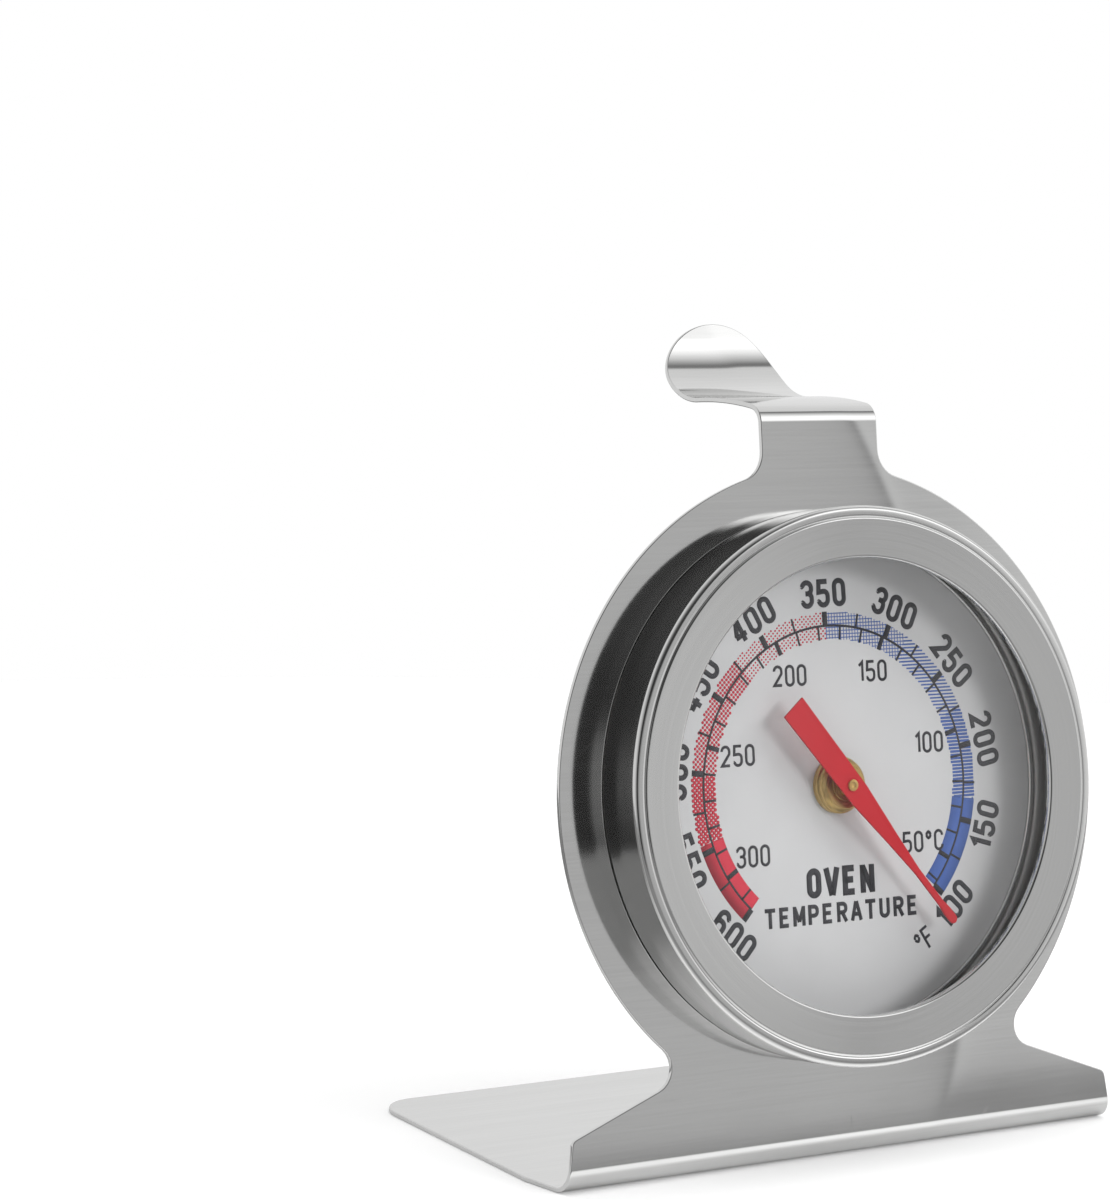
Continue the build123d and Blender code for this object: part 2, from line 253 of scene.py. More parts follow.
def makeHandlingGroup():
    # handling: broad smudges, and sparse hairline scratches in two directions
    group, entry, leave = newGroup(
        "handling", {"Vector": (0.0, 0.0, 0.0), "Smudge Scale": 60.0, "Scratch Scale": 90.0},
        ("Smudge", "Scratches"))
    vector = entry.outputs["Vector"]
    smudge = noise(group, vector, entry.outputs["Smudge Scale"], 4.0, 0.55, 0.4)
    group.links.new(remap(group, smudge, 0.42, 0.68), leave.inputs["Smudge"])
    lines = []
    for angles, squash in (((20, 35, 50), (1, 0.03, 1)), ((-60, 10, -25), (0.035, 1, 1))):
        slanted = addNode(group, "ShaderNodeMapping", {
            "Vector": vector, "Rotation": [math.radians(a) for a in angles], "Scale": squash})
        cells = addNode(group, "ShaderNodeTexVoronoi", {
            "Vector": slanted.outputs[0], "Scale": entry.outputs["Scratch Scale"],
        }, feature="DISTANCE_TO_EDGE")
        thin = remap(group, cells.outputs["Distance"], 0.0, 0.012, 1.0, 0.0)
        present = remap(group, noise(group, vector, 130.0 + 40 * len(lines)), 0.6, 0.72)
        lines.append(calc(group, "MULTIPLY", thin, present))
    group.links.new(calc(group, "MAXIMUM", *lines), leave.inputs["Scratches"])
    return group


def makeEdgeGroup():
    # edges rubbed bright on the metals, and a painted highlight along the red pointer's sides: where a
    # slightly widened normal leaves the surface's own one
    group, entry, leave = newGroup("rubbedEdgeAndHighlight", {"Vector": (0.0, 0.0, 0.0), "Reach": 0.0002}, ("Edge",))
    wide = addNode(group, "ShaderNodeBevel", {"Radius": entry.outputs["Reach"]}, samples=4)
    own = addNode(group, "ShaderNodeNewGeometry")
    same = addNode(group, "ShaderNodeVectorMath", {0: wide.outputs[0], 1: own.outputs["Normal"]},
                   operation="DOT_PRODUCT")
    away = calc(group, "SUBTRACT", 1.0, same.outputs["Value"])
    ragged = noise(group, entry.outputs["Vector"], 900.0, 3.0)
    edgeWearAndHighlight = calc(group, "MULTIPLY", away, calc(group, "ADD", ragged, 0.4))
    group.links.new(remap(group, edgeWearAndHighlight, 0.02, 0.2), leave.inputs["Edge"])
    return group


grainGroup = makeGrainGroup()
handlingGroup = makeHandlingGroup()
edgeGroup = makeEdgeGroup()


def flatCoordinates(tree):
    return tree.nodes.new("ShaderNodeTexCoord").outputs["Object"]


def headCoordinates(tree):
    # Object coordinates turned into the head frame, in metres
    return addNode(tree, "ShaderNodeMapping", {
        "Vector": flatCoordinates(tree), "Location": headCentre.tolist(),
        "Rotation": Matrix(headAxes.T.tolist()).to_euler()}, vector_type="TEXTURE").outputs[0]


def roundCoordinates(tree):
    # (radius, height, 0) plus a little of the direction, so that turned lines run round the dial's axis
    x, y, h = addNode(tree, "ShaderNodeSeparateXYZ", {0: headCoordinates(tree)}).outputs
    radius = calc(tree, "SQRT", calc(tree, "ADD", calc(tree, "MULTIPLY", x, x), calc(tree, "MULTIPLY", y, y)))
    driftX, driftY = (calc(tree, "MULTIPLY", calc(tree, "DIVIDE", side, radius), 0.0007) for side in (x, y))
    outside = calc(tree, "ADD", radius, driftY)
    return addNode(tree, "ShaderNodeCombineXYZ", {0: outside, 1: h, 2: driftX}).outputs[0]


def newMaterial(name):
    material = bpy.data.materials.new(name)
    material.use_nodes = True
    tree = material.node_tree
    return material, tree, tree.nodes["Principled BSDF"]


def addCrease(tree, place, crease):
    # a soft standing crease: height = -fold * sqrt(off^2 + soft^2), with off the distance in x from
    # the parabola x = start + slant * z + curve * z^2
    x, _, z = addNode(tree, "ShaderNodeSeparateXYZ", {0: place}).outputs
    slope = calc(tree, "MULTIPLY_ADD", z, crease["curve"], crease["slant"])
    off = calc(tree, "SUBTRACT", x, calc(tree, "MULTIPLY_ADD", z, slope, crease["start"]))
    root = calc(tree, "SQRT", calc(tree, "MULTIPLY_ADD", off, off, crease["soft"] ** 2))
    height = calc(tree, "MULTIPLY", root, -crease["fold"])
    made = addNode(tree, "ShaderNodeBump", {"Height": height, "Strength": 1.0, "Distance": 1.0})
    return made.outputs["Normal"]


def makeMetal(name, look, coordinates=flatCoordinates):
    # satin metal: grain moves roughness, tint and bump, handling adds smudges and hairlines,
    # and edges are rubbed bright
    material, tree, shader = newMaterial(name)
    place = flatCoordinates(tree)
    grain = addGroup(tree, grainGroup, {
        "Vector": coordinates(tree), "Scale": look["grainScale"], "Stretch": look["grainStretch"]})
    handled = addGroup(tree, handlingGroup, {
        "Vector": place, "Smudge Scale": look["smudgeScale"], "Scratch Scale": look["scratchScale"]})
    edge = addGroup(tree, edgeGroup, {"Vector": place, "Reach": look["edgeReach"]})
    tint = blend(tree, grain.outputs["Mask"], look["dark"], look["light"])
    tree.links.new(blend(tree, edge.outputs["Edge"], tint, look["edge"]), shader.inputs["Base Color"])
    rough = calc(tree, "MULTIPLY_ADD", grain.outputs["Mask"], look["roughGrain"], look["rough"])
    rough = calc(tree, "MULTIPLY_ADD", handled.outputs["Smudge"], look["roughSmudge"], rough)
    rough = calc(tree, "MULTIPLY_ADD", handled.outputs["Scratches"], 0.06, rough)
    tree.links.new(rough, shader.inputs["Roughness"])
    height = calc(tree, "MULTIPLY", grain.outputs["Height"], look["grainDepth"])
    height = calc(tree, "MULTIPLY_ADD", handled.outputs["Scratches"], -look["scratchDepth"], height)
    bump = addNode(tree, "ShaderNodeBump", {"Height": height, "Strength": 1.0, "Distance": 0.00001})
    if "crease" in look:
        tree.links.new(addCrease(tree, place, look["crease"]), bump.inputs["Normal"])
    tree.links.new(bump.outputs["Normal"], shader.inputs["Normal"])
    shader.inputs["Metallic"].default_value = 1.0
    return material


def makePaint(name, look):
    # enamel: slight mottling in tint and gloss, orange-peel bump, thin where an edge is rubbed; on the red
    # pointer the pale edge colour is a painted highlight along its sides
    material, tree, shader = newMaterial(name)
    place = flatCoordinates(tree)
    mottle = noise(tree, place, look["mottleScale"], 4.0)
    handled = addGroup(tree, handlingGroup, {"Vector": place, "Smudge Scale": 120.0, "Scratch Scale": 200.0})
    edge = addGroup(tree, edgeGroup, {"Vector": place, "Reach": look["edgeReach"]})
    tint = blend(tree, mottle, look["dark"], look["light"])
    rubbed = calc(tree, "MULTIPLY", edge.outputs["Edge"], look["edgeShare"])
    tree.links.new(blend(tree, rubbed, tint, look["edge"]), shader.inputs["Base Color"])
    rough = calc(tree, "MULTIPLY_ADD", mottle, 0.08, look["rough"])
    rough = calc(tree, "MULTIPLY_ADD", handled.outputs["Scratches"], 0.15, rough)
    tree.links.new(rough, shader.inputs["Roughness"])
    peel = noise(tree, place, look["peelScale"])
    bump = addNode(tree, "ShaderNodeBump", {"Height": peel, "Strength": 1.0, "Distance": look["peelDepth"]})
    tree.links.new(bump.outputs["Normal"], shader.inputs["Normal"])
    shader.inputs["Specular IOR Level"].default_value = look["specular"]
    return material


def makeGlass(name):
    # clear flat glass that lets lamps through; faint dust lifts its roughness
    material, tree, shader = newMaterial(name)
    dust = noise(tree, flatCoordinates(tree), 900.0, 3.0)
    tree.links.new(remap(tree, dust, 0.62, 0.8, 0.0, 0.06), shader.inputs["Roughness"])
    shader.inputs["Base Color"].default_value = (0.985, 0.99, 0.985, 1)
    shader.inputs["Transmission Weight"].default_value = 1.0
    shader.inputs["IOR"].default_value = 1.46
    clear = tree.nodes.new("ShaderNodeBsdfTransparent")
    rays = tree.nodes.new("ShaderNodeLightPath")
    through = calc(tree, "MAXIMUM", rays.outputs["Is Shadow Ray"], rays.outputs["Is Diffuse Ray"])
    both = addNode(tree, "ShaderNodeMixShader", {"Fac": through, 1: shader.outputs[0], 2: clear.outputs[0]})
    tree.links.new(both.outputs[0], tree.nodes["Material Output"].inputs["Surface"])
    return material


print("materials")
steelLook = dict(
    dark=(0.70, 0.70, 0.695), light=(0.735, 0.735, 0.73), edge=(0.84, 0.84, 0.84),
    rough=0.07, roughGrain=0.012, roughSmudge=0.02, grainScale=5000.0, grainStretch=(0.02, 0.8, 0.8),
    grainDepth=0.003, scratchDepth=0.02, smudgeScale=55.0, scratchScale=90.0, edgeReach=0.00015,
)
roundLook = {**steelLook, "grainScale": 9000.0, "grainStretch": (1.0, 0.3, 0.3), "grainDepth": 0.0006,
             "roughGrain": 0.006}
brassLook = dict(
    dark=(0.58, 0.38, 0.12), light=(0.88, 0.63, 0.26), edge=(0.95, 0.78, 0.45),
    rough=0.26, roughGrain=0.1, roughSmudge=0.08, grainScale=6000.0, grainStretch=(1.0, 1.0, 0.5),
    grainDepth=0.15, scratchDepth=0.3, smudgeScale=700.0, scratchScale=300.0, edgeReach=0.0001,
)
sheetCrease = dict(start=0.0104, slant=0.428, curve=-6.8, soft=0.0012, fold=0.015)
standSteel = makeMetal("standSteel", {**steelLook, "crease": sheetCrease})
bezelSteel = makeMetal("bezelSteel", {**roundLook, "rough": 0.12}, roundCoordinates)
caseSteel = makeMetal("caseSteel", {
    **roundLook, "rough": 0.5, "dark": (0.66, 0.66, 0.65), "light": (0.78, 0.78, 0.77)}, roundCoordinates)
rivetSteel = makeMetal("rivetSteel", {**roundLook, "rough": 0.3, "smudgeScale": 900.0}, roundCoordinates)
wireSteel = makeMetal("wireSteel", {**roundLook, "rough": 0.2}, roundCoordinates)
washerSteel = makeMetal("washerSteel", {**steelLook, "rough": 0.28, "grainScale": 2500.0})
clipSteel = makeMetal("clipSteel", {
    **steelLook, "rough": 0.3, "dark": (0.3, 0.3, 0.31), "light": (0.5, 0.5, 0.5)})
anchorSteel = makeMetal("anchorSteel", {**steelLook, "rough": 0.3, "grainStretch": (0.05, 1.0, 0.05)})
bimetalStrip = makeMetal("bimetalStrip", {
    **roundLook, "rough": 0.28, "dark": (0.46, 0.41, 0.33), "light": (0.64, 0.59, 0.5)}, roundCoordinates)
turnedBrass = makeMetal("turnedBrass", brassLook, roundCoordinates)
# a brighter, more orange copy of the brass for the spindle: a painted highlight on its riveted end
brassPaintedHighlight = makeMetal("brassPaintedHighlight", {
    **brassLook, "rough": 0.3, "dark": (0.94, 0.56, 0.18), "light": (1.0, 0.7, 0.28)}, roundCoordinates)
milledBrass = makeMetal("milledBrass", {**brassLook, "rough": 0.32, "grainStretch": (0.05, 1.0, 1.0)})
# the pale pink edge colour is a painted highlight along the pointer's sides
pointerRed = makePaint("pointerRed", dict(
    dark=(0.47, 0.009, 0.018), light=(0.54, 0.015, 0.026), edge=(0.85, 0.42, 0.4), edgeReach=0.00008,
    edgeShare=0.6, rough=0.38, specular=0.28, mottleScale=300.0, peelScale=1500.0, peelDepth=0.00001))
dialSilver = makePaint("dialSilver", dict(
    dark=(0.58, 0.58, 0.59), light=(0.66, 0.66, 0.67), edge=(0.7, 0.7, 0.7), edgeReach=0.0001,
    edgeShare=0.2, rough=0.42, specular=0.3, mottleScale=160.0, peelScale=4000.0, peelDepth=0.000003))
gasketFibre = makePaint("gasketFibre", dict(
    dark=(0.3, 0.29, 0.27), light=(0.42, 0.41, 0.38), edge=(0.5, 0.49, 0.45), edgeReach=0.0001,
    edgeShare=0.3, rough=0.8, specular=0.2, mottleScale=1200.0, peelScale=3000.0, peelDepth=0.00004))
inkLook = dict(edge=(0.5, 0.5, 0.5), edgeReach=0.00003, edgeShare=0.0, rough=0.5, specular=0.3,
               mottleScale=900.0, peelScale=5000.0, peelDepth=0.000002)
inkDark = makePaint("inkDark", {**inkLook, "dark": (0.028, 0.028, 0.034), "light": (0.05, 0.05, 0.058)})
inkBlue = makePaint("inkBlue", {**inkLook, "dark": (0.06, 0.13, 0.42), "light": (0.09, 0.17, 0.5)})
inkRed = makePaint("inkRed", {**inkLook, "dark": (0.55, 0.02, 0.05), "light": (0.66, 0.04, 0.07)})
lensGlass = makeGlass("lensGlass")


# the stand: one strip of sheet
stand = dict(
    sheet=0.5, footDepth=38.1, footHalf=35.3, footCorner=4.2, footTaper=7.0, footBend=2.3,
    plateTop=75.8, discRadius=33.4, discCentre=38.0, neckHalf=7.3, neckFillet=3.0,
    flareHalf=33.6, flareHeight=5.45, flareSlope=20.4, flareCorner=0.8, skirtHalf=34.5, skirtFrom=2.6,
    waistFillet=2.4, hookBend=2.1, hookRise=5.0, flapRadius=52.0, flapTurn=11.0, curlRadius=7.5,
    curlTurn=83.0, tipRun=1.5, tipTilt=61.0, tipLength=15.0,
    holeRadius=26.0, headAt=38.4, edgeRound=0.09, margin=0.05, columns=9,
)


def stripPath(s, steps):
    # the sheet's outer face from the side: (y, z) and heading at each run length s from the foot's back
    # edge, along steps of (straight run, bend radius, turn)
    heading, point, done = math.pi, np.zeros(2), 0.0
    s = np.clip(s, 0, sum(run + radius * math.radians(abs(turn)) for run, radius, turn in steps))
    yz, away = np.zeros((len(s), 2)), np.zeros(len(s))
    for run, radius, turn in steps:
        inRun = (s >= done) & (s <= done + run)
        yz[inRun] = point + np.outer(s[inRun] - done, [math.cos(heading), math.sin(heading)])
        away[inRun] = heading
        point = point + run * np.array([math.cos(heading), math.sin(heading)])
        done += run
        arc = radius * math.radians(abs(turn))
        side = math.copysign(1, turn)
        centre = point + side * radius * np.array([-math.sin(heading), math.cos(heading)])
        inArc = (s > done) & (s <= done + arc + 1e-6)
        bent = heading + side * (s[inArc] - done) / radius
        yz[inArc] = centre - side * radius * np.stack([-np.sin(bent), np.cos(bent)], -1)
        away[inArc] = bent
        heading += side * arc / radius
        point = centre - side * radius * np.array([-math.sin(heading), math.cos(heading)])
        done += arc
    return yz, away, done


def arcPoints(centre, radius, start, end, count):
    # points of an arc from one angle to another, without its first
    turn = np.linspace(start, end, count)[1:]
    return centre + radius * np.stack([np.cos(turn), np.sin(turn)], -1)


def plateEdge(d):
    # right half of the plate's outline as (x, height along the plate): flare, waist, disc and neck, in
    # arcs tangent to each other
    slope = math.radians(d["flareSlope"])
    corner = np.array([d["flareHalf"], d["flareHeight"]])
    middle = np.array([0, d["discCentre"]])
    along = np.array([-math.cos(slope), math.sin(slope)])
    upward = np.array([math.sin(slope), math.cos(slope)])
    offset = corner + upward * d["waistFillet"] - middle
    half = -offset @ along
    run = half - math.sqrt(half**2 - offset @ offset + (d["discRadius"] + d["waistFillet"]) ** 2)
    waist = middle + offset + along * run
    neckX = d["neckHalf"] + d["neckFillet"]
    neckRise = math.sqrt((d["discRadius"] + d["neckFillet"]) ** 2 - neckX**2)
    neck = np.array([neckX, d["discCentre"] + neckRise])
    low, high = (math.atan2(*(p - middle)[::-1]) for p in (waist, neck))
    skirt = roundedLine([(d["skirtHalf"], -1, 0), (*corner, d["flareCorner"]),
                         (*(waist - upward * d["waistFillet"]), 0)], False, 6)
    waistArc = arcPoints(waist, d["waistFillet"], 1.5 * math.pi - slope, low + math.pi, 9)
    disc = arcPoints(middle, d["discRadius"], low, high, 90)
    neckArc = arcPoints(neck, d["neckFillet"], high + math.pi, math.pi, 9)
    return np.vstack([skirt, waistArc, disc, neckArc, [[d["neckHalf"], 200.0]]])


def stripOutline(d, steps, plateStart, bendRun, total):
    # right half of the flat blank as (x, run length s): the foot's back edge and corner, the plate's
    # outline, and a tip that is round when it is seen at its tilt
    edge = plateEdge(d)
    turn = np.linspace(0, math.pi / 2, 10)
    corner = np.stack([d["footHalf"] - d["footCorner"] * (1 - np.sin(turn)),
                       d["footCorner"] * (1 - np.cos(turn))], -1)
    foot = [[d["footHalf"], d["footDepth"] - d["footTaper"]],
            [d["skirtHalf"], d["footDepth"] - d["skirtFrom"]]]
    inPlate = (edge[:, 1] > bendRun + 0.3) & (edge[:, 1] < 150)
    plate = edge[inPlate] + [0, plateStart - bendRun]
    start = [[np.interp(bendRun, edge[:, 1], edge[:, 0]), plateStart]]
    s = total - d["tipLength"] * np.linspace(1, 0, 90) ** 2
    yz = stripPath(s, steps)[0]
    tilt = math.radians(d["tipTilt"])
    back = np.clip((yz - yz[-1]) @ [math.cos(tilt), math.sin(tilt)], -d["neckHalf"], 0) + d["neckHalf"]
    tip = np.stack([np.sqrt(np.clip(d["neckHalf"] ** 2 - back**2, 0, None)), s], -1)
    return np.vstack([[[0, 0]], corner, foot, start, plate, tip])


def movedOut(line, distance, closed=False):
    # every point moved along its mitred normal, to the right of the line's direction
    ahead = np.roll(line, -1, 0) - line
    behind = np.roll(ahead, 1, 0)
    if not closed:
        ahead[-1], behind[0] = ahead[-2], ahead[0]
    ahead, behind = (v / np.linalg.norm(v, axis=1)[:, None] for v in (ahead, behind))
    normal = np.stack([(ahead + behind)[:, 1], -(ahead + behind)[:, 0]], -1)
    return line + normal / np.maximum(1 + (ahead * behind).sum(1), 0.3)[:, None] * distance


def buildStand(d):
    # flat blank: (s, u) -> x between the hole's edge and the outline; a rounded rim runs round both;
    # then (x, s, depth) is bent: the outer face's path at s, moved inwards by the depth in the sheet
    tilt = 90 + lean
    bendRun = d["footBend"] * math.tan(math.radians(tilt / 2))
    steps = [(d["footDepth"] - bendRun, d["footBend"], -tilt),
             (d["plateTop"] - bendRun, d["hookBend"], -(90 - lean - d["hookRise"])),
             (0, d["flapRadius"], -d["flapTurn"]), (0, d["curlRadius"], d["curlTurn"]),
             (d["tipRun"], 1.0, 0.0)]
    total = stripPath(np.zeros(1), steps)[2]
    plateStart = steps[0][0] + d["footBend"] * math.radians(tilt)
    hookStart = plateStart + steps[1][0]
    soft = d["edgeRound"]
    outline = movedOut(stripOutline(d, steps, plateStart, bendRun, total), -soft)
    outline[0], outline[-1] = (0, soft), (0, total - soft)
    holeReach = d["holeRadius"] + soft
    holeAt = plateStart - bendRun + d["headAt"]
    holeRows = holeAt - holeReach * np.cos(np.linspace(0, math.pi, 97))
    bends = [plateStart - d["footBend"] * math.radians(tilt) * np.linspace(1, 0, 25),
             hookStart + d["hookBend"] * math.radians(90) * np.linspace(0, 1, 21),
             np.linspace(hookStart + 4, total - d["tipLength"], 20),
             np.linspace(d["footCorner"] + 1, plateStart - 6, 10), [soft, soft + d["margin"]]]
    rising = outline[1:][outline[1:, 1] >= soft - 1e-6]
    s = np.sort(np.concatenate([rising[:, 1], holeRows] + bends))
    keep = np.concatenate([[True], np.diff(s) > 0.02])
    keep |= np.isin(s, [holeRows[0], holeRows[-1], rising[-1, 1]])
    s = s[keep]
    outer = np.interp(s, rising[:, 1], rising[:, 0])
    inner = np.sqrt(np.clip(holeReach**2 - (s - holeAt) ** 2, 0, None))
    inner[np.abs(s - holeAt) > holeReach - 1e-6] = 0
    # narrow columns keep the rims' shading to the rims
    margin = np.minimum(d["margin"], (outer - inner) / 4)
    share = np.linspace(0, 1, d["columns"])
    x = (inner + margin)[:, None] * (1 - share) + (outer - margin)[:, None] * share
    x = np.column_stack([inner, x, outer])
    parts = []
    for hand in (1, -1):
        for depth in (0.0, d["sheet"]):
            flat = np.stack([hand * x, s[:, None] + 0 * x, depth + 0 * x], -1)
            parts.append(gridFaces(flat, wrapAcross=False, capStart=False, capEnd=False))
    border = np.vstack([np.stack([x[0], s[0] + 0 * x[0]], -1), np.stack([outer, s], -1)[1:]])
    inHole = (s >= holeRows[0] - 1e-6) & (s <= holeRows[-1] + 1e-6)
    hole = np.stack([inner[inHole], s[inHole]], -1)
    for right, outside in ((border, 1), (hole, -1)):
        loop = np.vstack([right, (right * [-1, 1])[-2:0:-1]])
        quarter = np.linspace(0, math.pi / 2, 4)
        section = np.stack([np.sin(quarter), 1 - np.cos(quarter)], -1) * soft
        section = np.vstack([section, (section * [1, -1] + [0, d["sheet"]])[::-1]])
        rows = [np.column_stack([movedOut(loop, outside * out, True), np.full(len(loop), depth)])
                for out, depth in section]
        parts.append(gridFaces(np.stack(rows), capStart=False, capEnd=False))

    def bend(points):
        yz, away, _ = stripPath(points[:, 1], steps)
        inwards = np.stack([np.sin(away), -np.cos(away)], -1)
        y, z = (yz + inwards * points[:, 2:]).T
        return np.stack([points[:, 0], y + d["footDepth"] / 2, z], -1) * mm

    piece = addPiece("standStrip", parts, "stand", standSteel, ("stand_bracket",),
                     weld=0.003, place=bend)
    return evenShading(piece)


print("stand")
buildStand(stand)


# the dial head: case, bezel, glass, gasket, dial sheet, its wire ring and the rivets
case = dict(
    sheet=0.4, radius=28.1, rim=4.0, wellRadius=25.9, ledge=-0.9, rearRadius=23.9, rear=-6.3,
    vents=8, ventRadius=1.5, ventCircle=14.0, cellInner=10.5, cellOuter=17.5, cellSteps=24,
)


def buildCase(d):
    # outer skin from the rim in to the vents; each vent is a ring from its round hole to its cell's border
    skin = roundedLine([
        (d["radius"], d["rim"], 0), (d["radius"], 0, 0.45), (d["wellRadius"], 0, 0.35),
        (d["wellRadius"], d["ledge"] - d["sheet"], 0.45), (d["rearRadius"], d["ledge"] - d["sheet"], 0.5),
        (d["rearRadius"], d["rear"], 1.1), (d["cellOuter"], d["rear"], 0),
    ], False, 6)
    # the walls' columns meet the points of the cells' outer arcs
    t = np.linspace(0, 2 * math.pi, d["vents"] * d["cellSteps"], endpoint=False)
    across, up = np.cos(t), np.sin(t)
    outside = np.stack([skin[:, :1] * across, skin[:, :1] * up, skin[:, 1:] + 0 * t], -1)
    walls = gridFaces(outside, capStart=False, capEnd=False)
    # (radius, depth) of the rear's middle, which is pressed in a little
    dish = np.array([[d["cellInner"], 0.0], [7.0, 0.0], [4.2, 0.0], [3.4, 0.16], [1.6, 0.22]])
    middle = np.stack([dish[:, :1] * across, dish[:, :1] * up, d["rear"] + dish[:, 1:] + 0 * t], -1)
    centre = gridFaces(middle, capStart=False)
    # a cell's border walked once: out along one side, over the outer arc, back in, over the inner arc
    steps = d["cellSteps"]
    half = math.pi / d["vents"]
    line = np.linspace(-1, 1, steps + 1)[:-1]
    low, high = d["cellInner"], d["cellOuter"]
    mid, reach = (low + high) / 2, (high - low) / 2
    radius = np.concatenate([mid + reach * line, np.full(steps, high),
                             mid - reach * line, np.full(steps, low)])
    angle = np.concatenate([np.full(steps, -half), half * line, np.full(steps, half), -half * line])
    border = np.stack([radius * np.cos(angle), radius * np.sin(angle)], -1)
    bearing = np.arctan2(border[:, 1], border[:, 0] - d["ventCircle"])
    hole = np.stack([np.cos(bearing), np.sin(bearing)], -1) * d["ventRadius"] + [d["ventCircle"], 0]
    share = np.array([0, 0.05, 0.12, 0.3, 0.6, 1.0])[:, None, None]
    # the punch draws the rim out a little
    pressed = np.array([-0.16, -0.1, 0, 0, 0, 0])[:, None] + 0 * bearing
    flat = hole * (1 - share) + border * share
    cells = []
    for i in range(d["vents"]):
        a = 2 * half * (i + 0.5)
        spun = flat @ np.array([[math.cos(a), math.sin(a)], [-math.sin(a), math.cos(a)]])
        points = np.concatenate([spun, (d["rear"] + pressed)[..., None]], -1)
        cells.append(gridFaces(points, capStart=False, capEnd=False))
    piece = addPiece("caseShell", [walls, centre] + cells, "stand", caseSteel, ("case_cup",),
                     weld=0.01)
    # outwards is away from the head's middle on the rear wall
    rearFace = min(piece.data.polygons, key=lambda face: (np.array(face.center) - headCentre) @ outward)
    if np.array(rearFace.normal) @ outward > 0:
        piece.data.flip_normals()
    thick = piece.modifiers.new("thickness", "SOLIDIFY")
    thick.thickness = d["sheet"] * mm
    thick.offset = -1
    thick.use_even_offset = True
    return evenShading(piece)


bezel = dict(
    radius=28.5, sheet=0.4, foot=0.2, footIn=0.15, footTaper=2.4, beadTop=6.24, beadRadius=0.5,
    groove=27.42, grooveTop=6.2, faceOuter=27.2, face=6.34, faceDrop=0.22,
    window=23.2, windowRound=0.32, windowDrop=0.85,
)


def buildBezel(d):
    # (point of the rolled section, turn) -> a ring; the section is a wall drawn in at its foot, a round
    # bead, a shallow groove, a face that dishes in and a turned-in edge round the window
    t = d["sheet"]
    footRadius = d["radius"] - d["footIn"]
    beadIn = d["radius"] - 2 * d["beadRadius"] + 0.1
    faceIn, edgeLow = d["face"] - d["faceDrop"], d["face"] - d["windowDrop"]
    section = roundedLine([
        (footRadius, d["foot"], 0.08), (d["radius"], d["footTaper"], 20.0),
        (d["radius"], d["beadTop"], d["beadRadius"]), (beadIn, d["beadTop"], d["beadRadius"] * 0.5),
        (d["groove"] + 0.05, d["grooveTop"], 0.12), (d["groove"] - 0.05, d["grooveTop"], 0.12),
        (d["faceOuter"], d["face"], 0.3), (d["window"], faceIn, d["windowRound"]),
        (d["window"], edgeLow, 0.06), (d["window"] + t, edgeLow, 0.06),
        (d["window"] + t, faceIn - t, 0.1), (d["faceOuter"], d["face"] - t, 0.1),
        (d["groove"] - 0.1, d["grooveTop"] - t, 0.1), (d["radius"] - t, d["grooveTop"] - t, 0.15),
        (d["radius"] - t, d["footTaper"], 1.0), (footRadius - t, d["foot"], 0.08),
    ], True, 6)
    piece = addPiece("bezelRing", [turned(section, 288)], "stand", bezelSteel, ("bezel_ring",))
    return evenShading(piece)


def ringSection(outer, inner, low, high, soft):
    # a box from inner to outer radius and low to high, with rounded edges
    corners = [(outer, low, soft), (outer, high, soft), (inner, high, soft), (inner, low, soft)]
    return roundedLine(corners, True, 3)


def discSection(outer, low, high, soft, core=0.02):
    # the same without a hole: it starts and ends at the core, next to the axis
    return roundedLine([(core, low, 0), (outer, low, soft), (outer, high, soft), (core, high, 0)], False, 4)


print("case, bezel and glass")
buildCase(case)
buildBezel(bezel)
glass = dict(outer=27.9, low=4.0, high=5.4, soft=0.12)
glassPart = turned(discSection(**glass), closed=False)
evenShading(addPiece("flatGlass", [glassPart], "stand", lensGlass, ("lens_glass",)))
gasket = dict(outer=26.7, inner=24.2, low=5.4, high=5.72, soft=0.1)
gasketPart = turned(ringSection(**gasket))
addPiece("fibreGasket", [gasketPart], "stand", gasketFibre, ("lens_gasket",))
dialSheet = dict(outer=25.4, inner=1.54, low=-0.9, high=-0.5, soft=0.06)
dialPart = turned(ringSection(**dialSheet))
evenShading(addPiece("dialSheet", [dialPart], "stand", dialSilver, ("dial_plate",)))

snapRing = dict(wire=0.3, radius=25.15, height=-0.2, gap=16.0)


def buildSnapRing(d):
    # (station round the dial, turn round the wire) -> an open ring of round wire with rounded ends
    station = np.radians(np.linspace(180 + d["gap"] / 2, 540 - d["gap"] / 2, 160))
    wire = d["wire"] * np.concatenate([[0.3, 0.75], np.ones(len(station) - 4), [0.75, 0.3]])[:, None]
    t = np.linspace(0, 2 * math.pi, 14, endpoint=False)
    radius = d["radius"] + wire * np.cos(t)
    points = np.stack([radius * np.sin(station)[:, None], radius * np.cos(station)[:, None],
                       d["height"] + wire * np.sin(t)], -1)
    return addPiece("snapRing", [gridFaces(points)], "stand", wireSteel, ("dial_snap_ring",))


rivets = dict(count=4, circle=26.85, head=0.8, dome=0.32, shank=0.5, front=0.4, back=-0.5, start=45.0)


